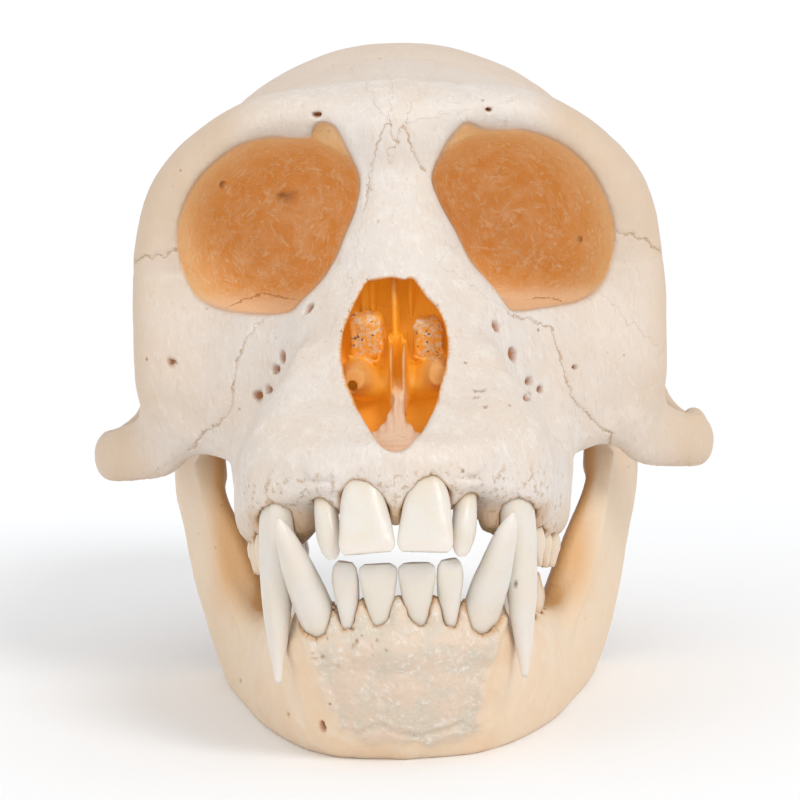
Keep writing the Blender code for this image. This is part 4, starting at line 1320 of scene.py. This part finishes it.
class Number:
    """A socket of a material that can be reckoned with like a number."""

    def __init__(self, paint, link):
        self.paint = paint
        self.link = link

    def with_other(self, operation, other, swapped=False):
        pair = (other, self) if swapped else (self, other)
        return self.paint.node("ShaderNodeMath", {"operation": operation}, dict(enumerate(pair)))

    def __add__(self, other):
        return self.with_other("ADD", other)

    def __radd__(self, other):
        return self.with_other("ADD", other, swapped=True)

    def __sub__(self, other):
        return self.with_other("SUBTRACT", other)

    def __rsub__(self, other):
        return self.with_other("SUBTRACT", other, swapped=True)

    def __mul__(self, other):
        return self.with_other("MULTIPLY", other)

    def __rmul__(self, other):
        return self.with_other("MULTIPLY", other, swapped=True)

    def more_of(self, other):
        return self.with_other("MAXIMUM", other)

    def size(self):
        """The number without its sign."""
        return self.with_other("ABSOLUTE", 0.0)


class Paint:
    """A material and the nodes that feed its shader."""

    def __init__(self, name, roughness, **constants):
        self.material = bpy.data.materials.new(name)
        self.material.use_nodes = True
        self.tree = self.material.node_tree
        self.shader = self.tree.nodes["Principled BSDF"]
        self.shader.inputs["Roughness"].default_value = roughness
        for key, value in constants.items():
            self.shader.inputs[key.replace("_", " ").title()].default_value = value

    def feed(self, socket, value):
        if isinstance(value, Number):
            self.tree.links.new(value.link, socket)
        else:
            socket.default_value = value

    def node(self, kind, settings, values, output=0):
        """Any node: its settings first, then the values or links of its inputs."""
        made = self.tree.nodes.new(kind)
        for key, value in settings.items():
            setattr(made, key, value)
        for key, value in values.items():
            self.feed(made.inputs[key], value)
        return Number(self, made.outputs[output])

    def place(self):
        """Where a point lies, in the frame's millimetres."""
        where = self.node("ShaderNodeTexCoord", {}, {}, "Object")
        return self.stretched(where, 1000, 1000, 1000)

    def stretched(self, where, x, y, z):
        return self.node("ShaderNodeVectorMath", {"operation": "MULTIPLY"}, {0: where, 1: (x, y, z)})

    def turned(self, where, axis, degrees):
        turn = {"rotation_type": "AXIS_ANGLE"}
        values = {"Vector": where, "Axis": axis, "Angle": math.radians(degrees)}
        return self.node("ShaderNodeVectorRotate", turn, values)

    def noise(self, where, per_mm, detail=3.0, roughness=0.55, distortion=0.0):
        values = {"Vector": where, "Scale": per_mm, "Detail": detail, "Roughness": roughness,
                  "Distortion": distortion}
        return self.node("ShaderNodeTexNoise", {}, values)

    def dots(self, where, per_mm):
        """Distance to the nearest of some scattered points."""
        return self.node("ShaderNodeTexVoronoi", {}, {"Vector": where, "Scale": per_mm})

    def mask(self, name):
        return self.node("ShaderNodeAttribute", {"attribute_name": name}, {}, "Fac")

    def rise(self, value, low, high):
        """0 up to low, 1 from high on, and a smooth rise between; high may be the smaller one."""
        settings = {"interpolation_type": "SMOOTHSTEP"}
        values = {"Value": value, "From Min": low, "From Max": high}
        return self.node("ShaderNodeMapRange", settings, values)

    def blend(self, share, first, second):
        """The first colour, and where share is 1 the second."""
        first, second = ((*c, 1) if isinstance(c, tuple) else c for c in (first, second))
        values = {0: share, 6: first, 7: second}
        return self.node("ShaderNodeMix", {"data_type": "RGBA"}, values, 2)

    def bump(self, height, reach_mm, strength=1.0):
        values = {"Strength": strength, "Distance": reach_mm * MM, "Height": height}
        return self.node("ShaderNodeBump", {}, values)

    def finished(self, colour, roughness, normal):
        self.feed(self.shader.inputs["Base Color"], colour)
        self.feed(self.shader.inputs["Roughness"], roughness)
        self.feed(self.shader.inputs["Normal"], normal)
        return self.material


def known(recipe):
    """Makes a material once and gives the same one each time after."""
    made = []

    def get():
        if not made:
            made.append(recipe())
        return made[0]

    return get


def fibre_streaks(paint, where):
    """Fine pale threads that run a little every way, as on the walls of the eye sockets."""
    streaks = None
    for degrees, stretch in ((35, 0.24), (-50, 0.3), (80, 0.26), (10, 0.3)):
        turned = paint.turned(where, (0, 1, 0), degrees)
        thin = paint.noise(paint.stretched(turned, 1, 0.6, stretch), 2.0, 3, 0.6, 0.8)
        patch = paint.rise(paint.noise(turned, 0.3, 1), 0.42, 0.55)
        one = paint.rise(thin, 0.52, 0.68) * patch
        streaks = one if streaks is None else streaks.more_of(one)
    return streaks


def suture_line(paint, where):
    """1 on the thin, wandering line where two bones meet."""
    beside = paint.mask("suture")
    wandering = beside + (paint.noise(where, 1.0, 3, 0.75) - 0.5) * 1.5
    line = paint.rise(wandering.size(), 0.11, 0.03) * paint.rise(beside.size(), 1.2, 0.7)
    return line * (0.45 + 0.55 * paint.rise(paint.noise(where, 0.6, 1), 0.4, 0.55))


def outer_bone(paint, where, mottle, grain, fibres):
    """The weathered outside: cream clouds, pale and brown streaks, yellower and darker towards the sides and
    back, partly as painted shade.
    """
    clouds = paint.noise(where, 0.11, 3)
    wisps = paint.noise(paint.stretched(paint.turned(where, (0, 1, 0), 20), 1.4, 1, 0.3), 1.9, 4, 0.65, 1.0)
    colour = paint.blend(paint.rise(clouds, 0.35, 0.65), (0.72, 0.65, 0.59), (0.71, 0.61, 0.52))
    colour = paint.blend(paint.rise(mottle, 0.5, 0.68) * 0.5, colour, (0.79, 0.73, 0.67))
    colour = paint.blend(paint.rise(fibres, 0.54, 0.68) * 0.5, colour, (0.65, 0.51, 0.39))
    colour = paint.blend(paint.rise(wisps, 0.55, 0.66) * 0.5, colour, (0.82, 0.77, 0.72))
    colour = paint.blend(paint.rise(grain, 0.58, 0.75) * 0.4, colour, (0.80, 0.745, 0.69))
    # Yellower and darker at the sides, back and brow ends: partly the bone's own tone, partly painted shade.
    return paint.blend(paint.mask("warm_and_shade") * (0.6 + 0.4 * mottle), colour, (0.64, 0.47, 0.32))


def socket_walls(paint, where, mottle, grain, fibres, threads):
    """The eye sockets: tan at the rim and orange further in, partly the bone's own colour and partly painted
    warm shade, with pale threads and a cracked floor.
    """
    # Deeper in, the orange is partly painted warm shade.
    colour = paint.blend(paint.mask("socket_depth"), (0.90, 0.62, 0.32), (0.82, 0.37, 0.085))
    colour = paint.blend(paint.rise(mottle, 0.4, 0.65) * 0.6, colour, (0.9, 0.55, 0.28))
    colour = paint.blend(paint.rise(fibres, 0.5, 0.68) * 0.4, colour, (0.8, 0.37, 0.11))
    colour = paint.blend(paint.mask("socket_floor") * 0.8, colour, (0.93, 0.72, 0.52))
    colour = paint.blend(threads * 0.6, colour, (0.96, 0.76, 0.52))
    colour = paint.blend(paint.rise(grain, 0.6, 0.75) * 0.3, colour, (0.78, 0.38, 0.12))
    crack = (paint.mask("crack") + (paint.noise(where, 1.2, 2) - 0.5) * 0.7).size()
    return paint.blend(paint.rise(crack, 0.13, 0.04) * 0.7, colour, (0.42, 0.17, 0.05))


def nose_walls(paint, where, mottle, fibres, crust):
    """The inside of the nose: orange, deeper further in, partly the bone's own colour and partly painted
    warm shade, with speckled crusts and a pale floor.
    """
    colour = paint.blend(paint.rise(mottle, 0.35, 0.7), (0.72, 0.31, 0.06), (0.76, 0.38, 0.13))
    # Deeper in, the stronger orange is partly painted warm shade.
    colour = paint.blend(paint.mask("nose_depth"), colour, (0.86, 0.33, 0.015))
    crumbs = paint.rise(paint.noise(where, 2.2, 4, 0.7), 0.45, 0.6)
    colour = paint.blend(crust * crumbs * 0.9, colour, (0.72, 0.58, 0.42))
    dark_specks = paint.rise(paint.noise(paint.stretched(where, 1, 1, 1.2), 1.7, 2), 0.64, 0.7)
    colour = paint.blend(crust * dark_specks, colour, (0.16, 0.05, 0.02))
    pale = paint.mask("pale")
    colour = paint.blend(pale * (0.75 + 0.25 * fibres), colour, (0.76, 0.56, 0.41))
    return paint.blend(pale * paint.rise(fibres, 0.55, 0.7) * 0.5, colour, (0.72, 0.4, 0.2))


def light_through_bone(paint, socket, nose, crust):
    """Painted glow: emission that stands in for the weak light coming through the thin walls of the eye
    sockets and the nose.
    """
    glow = paint.blend(socket, (0, 0, 0), (0.09, 0.05, 0.012))
    lit = nose * paint.mask("nose_depth") * (1 - 0.7 * crust)
    return paint.blend(lit, glow, (0.22, 0.15, 0.01))


@known
def bone():
    # The emission strength drives the painted glow inside the eye sockets and the nose.
    paint = Paint("dry_bone", 0.5, emission_strength=0.5)
    where = paint.place()
    mottle = paint.noise(where, 0.45, 4)
    grain = paint.noise(where, 2.6, 4, 0.6)
    fibres = paint.noise(paint.stretched(where, 1.6, 0.8, 0.35), 1.5, 4, 0.6, 0.8)
    gum_pores = paint.rise(paint.noise(where, 1.3, 5, 0.7), 0.55, 0.66) * paint.mask("gum")
    speck_patch = paint.rise(paint.noise(where, 0.16, 2), 0.45, 0.6)
    specks = paint.rise(paint.dots(where, 0.42), 0.1, 0.04) * speck_patch
    seam = suture_line(paint, where)
    threads = fibre_streaks(paint, where)
    socket, nose, crust = paint.mask("socket"), paint.mask("nose"), paint.mask("crust")

    colour = outer_bone(paint, where, mottle, grain, fibres)
    colour = paint.blend(gum_pores * 0.7, colour, (0.6, 0.38, 0.2))
    colour = paint.blend(specks * 0.8, colour, (0.4, 0.24, 0.13))
    colour = paint.blend(seam * 0.75, colour, (0.52, 0.33, 0.17))
    colour = paint.blend(socket, colour, socket_walls(paint, where, mottle, grain, fibres, threads))
    colour = paint.blend(nose, colour, nose_walls(paint, where, mottle, fibres, crust))
    colour = paint.blend(paint.mask("neck") * 0.75, colour, (0.5, 0.27, 0.1))
    # Painted shade: the small openings are painted dark brown.
    colour = paint.blend(paint.mask("shaded_pit"), colour, (0.42, 0.15, 0.04))

    # Painted glow in the eye sockets and deep in the nose.
    glow = light_through_bone(paint, socket, nose, crust)
    paint.feed(paint.shader.inputs["Emission Color"], glow)
    height = grain * 0.5 + mottle + fibres * 0.6 - seam * 1.2 - gum_pores * 0.9
    height = height - specks * 1.5 + threads * socket * 0.5
    roughness = 0.5 + (grain - 0.5) * 0.25 + nose * 0.06
    return paint.finished(colour, roughness, paint.bump(height, 0.14, 0.6))


def chalky_front(paint, where, crumbs, scratches):
    """The rough patch on the front of the jaw: tan and greenish patches under white crumbs and scratches."""
    patches = paint.rise(paint.noise(where, 0.28, 3, 0.6), 0.4, 0.62)
    white_patch = paint.rise(paint.noise(where, 0.4, 3, 0.6), 0.46, 0.6)
    colour = paint.blend(patches, (0.74, 0.585, 0.455), (0.66, 0.575, 0.46))
    colour = paint.blend(paint.rise(crumbs, 0.5, 0.64) * white_patch * 0.75, colour, (0.82, 0.76, 0.69))
    colour = paint.blend(paint.rise(scratches, 0.56, 0.68) * 0.6, colour, (0.8, 0.72, 0.63))
    return paint.blend(paint.rise(crumbs, 0.4, 0.32) * 0.45, colour, (0.6, 0.42, 0.28))


@known
def jaw_bone():
    paint = Paint("dry_jaw_bone", 0.5)
    where = paint.place()
    clouds = paint.noise(where, 0.13, 3)
    mottle = paint.noise(where, 0.5, 4)
    grain = paint.noise(where, 2.6, 4, 0.6)
    flow = paint.noise(paint.stretched(where, 1.5, 0.5, 0.4), 1.2, 4, 0.6, 0.6)
    colour = paint.blend(paint.rise(clouds, 0.35, 0.65), (0.81, 0.64, 0.465), (0.80, 0.59, 0.40))
    colour = paint.blend(paint.rise(mottle, 0.5, 0.7) * 0.5, colour, (0.82, 0.7, 0.56))
    colour = paint.blend(paint.rise(flow, 0.58, 0.72) * 0.35, colour, (0.75, 0.55, 0.34))
    colour = paint.blend(paint.mask("behind") * 0.45, colour, (0.79, 0.63, 0.45))
    # Painted shade: inner faces and the gap beside the upper jaw turn deep orange.
    colour = paint.blend(paint.mask("inner_shade") * 0.8, colour, (0.74, 0.39, 0.13))
    chalk = paint.mask("chalk")
    crumbs = paint.noise(where, 1.6, 5, 0.7)
    scratches = paint.noise(paint.stretched(paint.turned(where, (0, 1, 0), 25), 1, 1, 0.22), 2.2, 4, 0.65)
    chalky = chalky_front(paint, where, crumbs, scratches)
    colour = paint.blend(chalk, colour, chalky)
    colour = paint.blend(paint.mask("pores") * 0.8, colour, (0.52, 0.34, 0.18))
    speck_patch = paint.rise(paint.noise(where, 0.2, 2), 0.5, 0.6)
    specks = paint.rise(paint.dots(where, 0.3), 0.07, 0.03) * speck_patch
    colour = paint.blend(specks * 0.8, colour, (0.35, 0.2, 0.1))
    colour = paint.blend(paint.mask("neck") * 0.75, colour, (0.55, 0.3, 0.11))
    # Painted shade: the small openings are painted dark brown.
    colour = paint.blend(paint.mask("shaded_pit"), colour, (0.4, 0.16, 0.05))
    height = grain * 0.5 + mottle + flow * 0.5 + chalk * (crumbs * 1.6 + scratches * 0.6) - specks * 1.5
    roughness = 0.48 + (grain - 0.5) * 0.25 + chalk * 0.2
    return paint.finished(colour, roughness, paint.bump(height, 0.14, 0.6))


@known
def enamel():
    paint = Paint("tooth_enamel", 0.3, subsurface_weight=0.3, subsurface_scale=0.0015)
    where = paint.place()
    clouds = paint.noise(where, 0.25, 2)
    lines = paint.noise(paint.stretched(where, 3.0, 3.0, 0.12), 1.2, 3, 0.6)
    grain = paint.noise(where, 3.0, 3)
    colour = paint.blend(paint.rise(clouds, 0.35, 0.65), (0.745, 0.70, 0.635), (0.735, 0.67, 0.575))
    colour = paint.blend(paint.rise(lines, 0.56, 0.7) * 0.35, colour, (0.76, 0.65, 0.52))
    colour = paint.blend(paint.mask("root") * 0.4, colour, (0.76, 0.64, 0.5))
    colour = paint.blend(paint.mask("tip") * 0.35, colour, (0.82, 0.78, 0.74))
    colour = paint.blend(paint.mask("back") * 0.7, colour, (0.74, 0.56, 0.37))
    colour = paint.blend(paint.mask("below_gum") * 0.8, colour, (0.6, 0.38, 0.18))
    colour = paint.blend(paint.mask("spot") * 0.9, colour, (0.25, 0.15, 0.06))
    height = lines + grain * 0.2
    roughness = 0.3 + (grain - 0.5) * 0.15
    return paint.finished(colour, roughness, paint.bump(height, 0.05, 0.5))


@known
def floor_white():
    paint = Paint("floor_white", 0.9)
    paper = paint.noise(paint.place(), 0.05, 3)
    colour = paint.blend(paper, (0.955, 0.965, 0.98), (0.965, 0.975, 0.99))
    return paint.finished(colour, 0.88 + 0.04 * paper, paint.bump(paper, 0.02, 0.2))


# Floor, light and camera

FLOOR_REACH = 4.0  # metres
STUDIO_LIGHT = 0.82
FOCAL_PIXELS, IMAGE_PIXELS = 4206, 800
SENSOR_WIDTH = 36


def floor_and_light():
    mesh = bpy.data.meshes.new("floor")
    corners = [(x * FLOOR_REACH, y * FLOOR_REACH, 0) for x, y in ((-1, -1), (1, -1), (1, 1), (-1, 1))]
    mesh.from_pydata(corners, [], [(0, 1, 2, 3)])
    floor = bpy.data.objects.new("floor", mesh)
    bpy.context.scene.collection.objects.link(floor)
    mesh.materials.append(floor_white())
    world = bpy.data.worlds.new("studio")
    bpy.context.scene.world = world
    world.use_nodes = True
    background = world.node_tree.nodes["Background"]
    background.inputs["Color"].default_value = (1, 1, 1, 1)
    background.inputs["Strength"].default_value = STUDIO_LIGHT
    add_sun("key", (0.5, -0.75, 0.75), 1.0, 20)
    add_sun("fill", (-0.6, -0.8, 0.45), 0.3, 50)


def add_sun(name, direction, strength, softness):
    """A broad, even light that comes from this direction and spreads over so many degrees."""
    light = bpy.data.lights.new(name, "SUN")
    light.energy = strength
    light.angle = math.radians(softness)
    obj = bpy.data.objects.new(name, light)
    bpy.context.scene.collection.objects.link(obj)
    obj.rotation_euler = Vector(direction).to_track_quat("Z", "Y").to_euler()


def add_camera():
    """The photograph's view: nearly level, a little rolled, from in front."""
    camera = bpy.data.cameras.new("camera")
    camera.sensor_width = SENSOR_WIDTH
    camera.lens = SENSOR_WIDTH * FOCAL_PIXELS / IMAGE_PIXELS
    camera.clip_start = 0.01
    obj = bpy.data.objects.new("camera", camera)
    bpy.context.scene.collection.objects.link(obj)
    obj.location = SKULL_TO_FRAME @ Vector(AIM - LOOK * CAMERA_DISTANCE)
    turned = Vector(LOOK).to_track_quat("-Z", "Y") @ Quaternion((0, 0, 1), CAMERA_ROLL)
    obj.rotation_euler = turned.to_euler()
    bpy.context.scene.camera = obj


def main():
    bpy.context.scene.view_settings.view_transform = "Standard"
    build_cranium()
    build_jaw()
    build_teeth()
    floor_and_light()
    add_camera()


main()
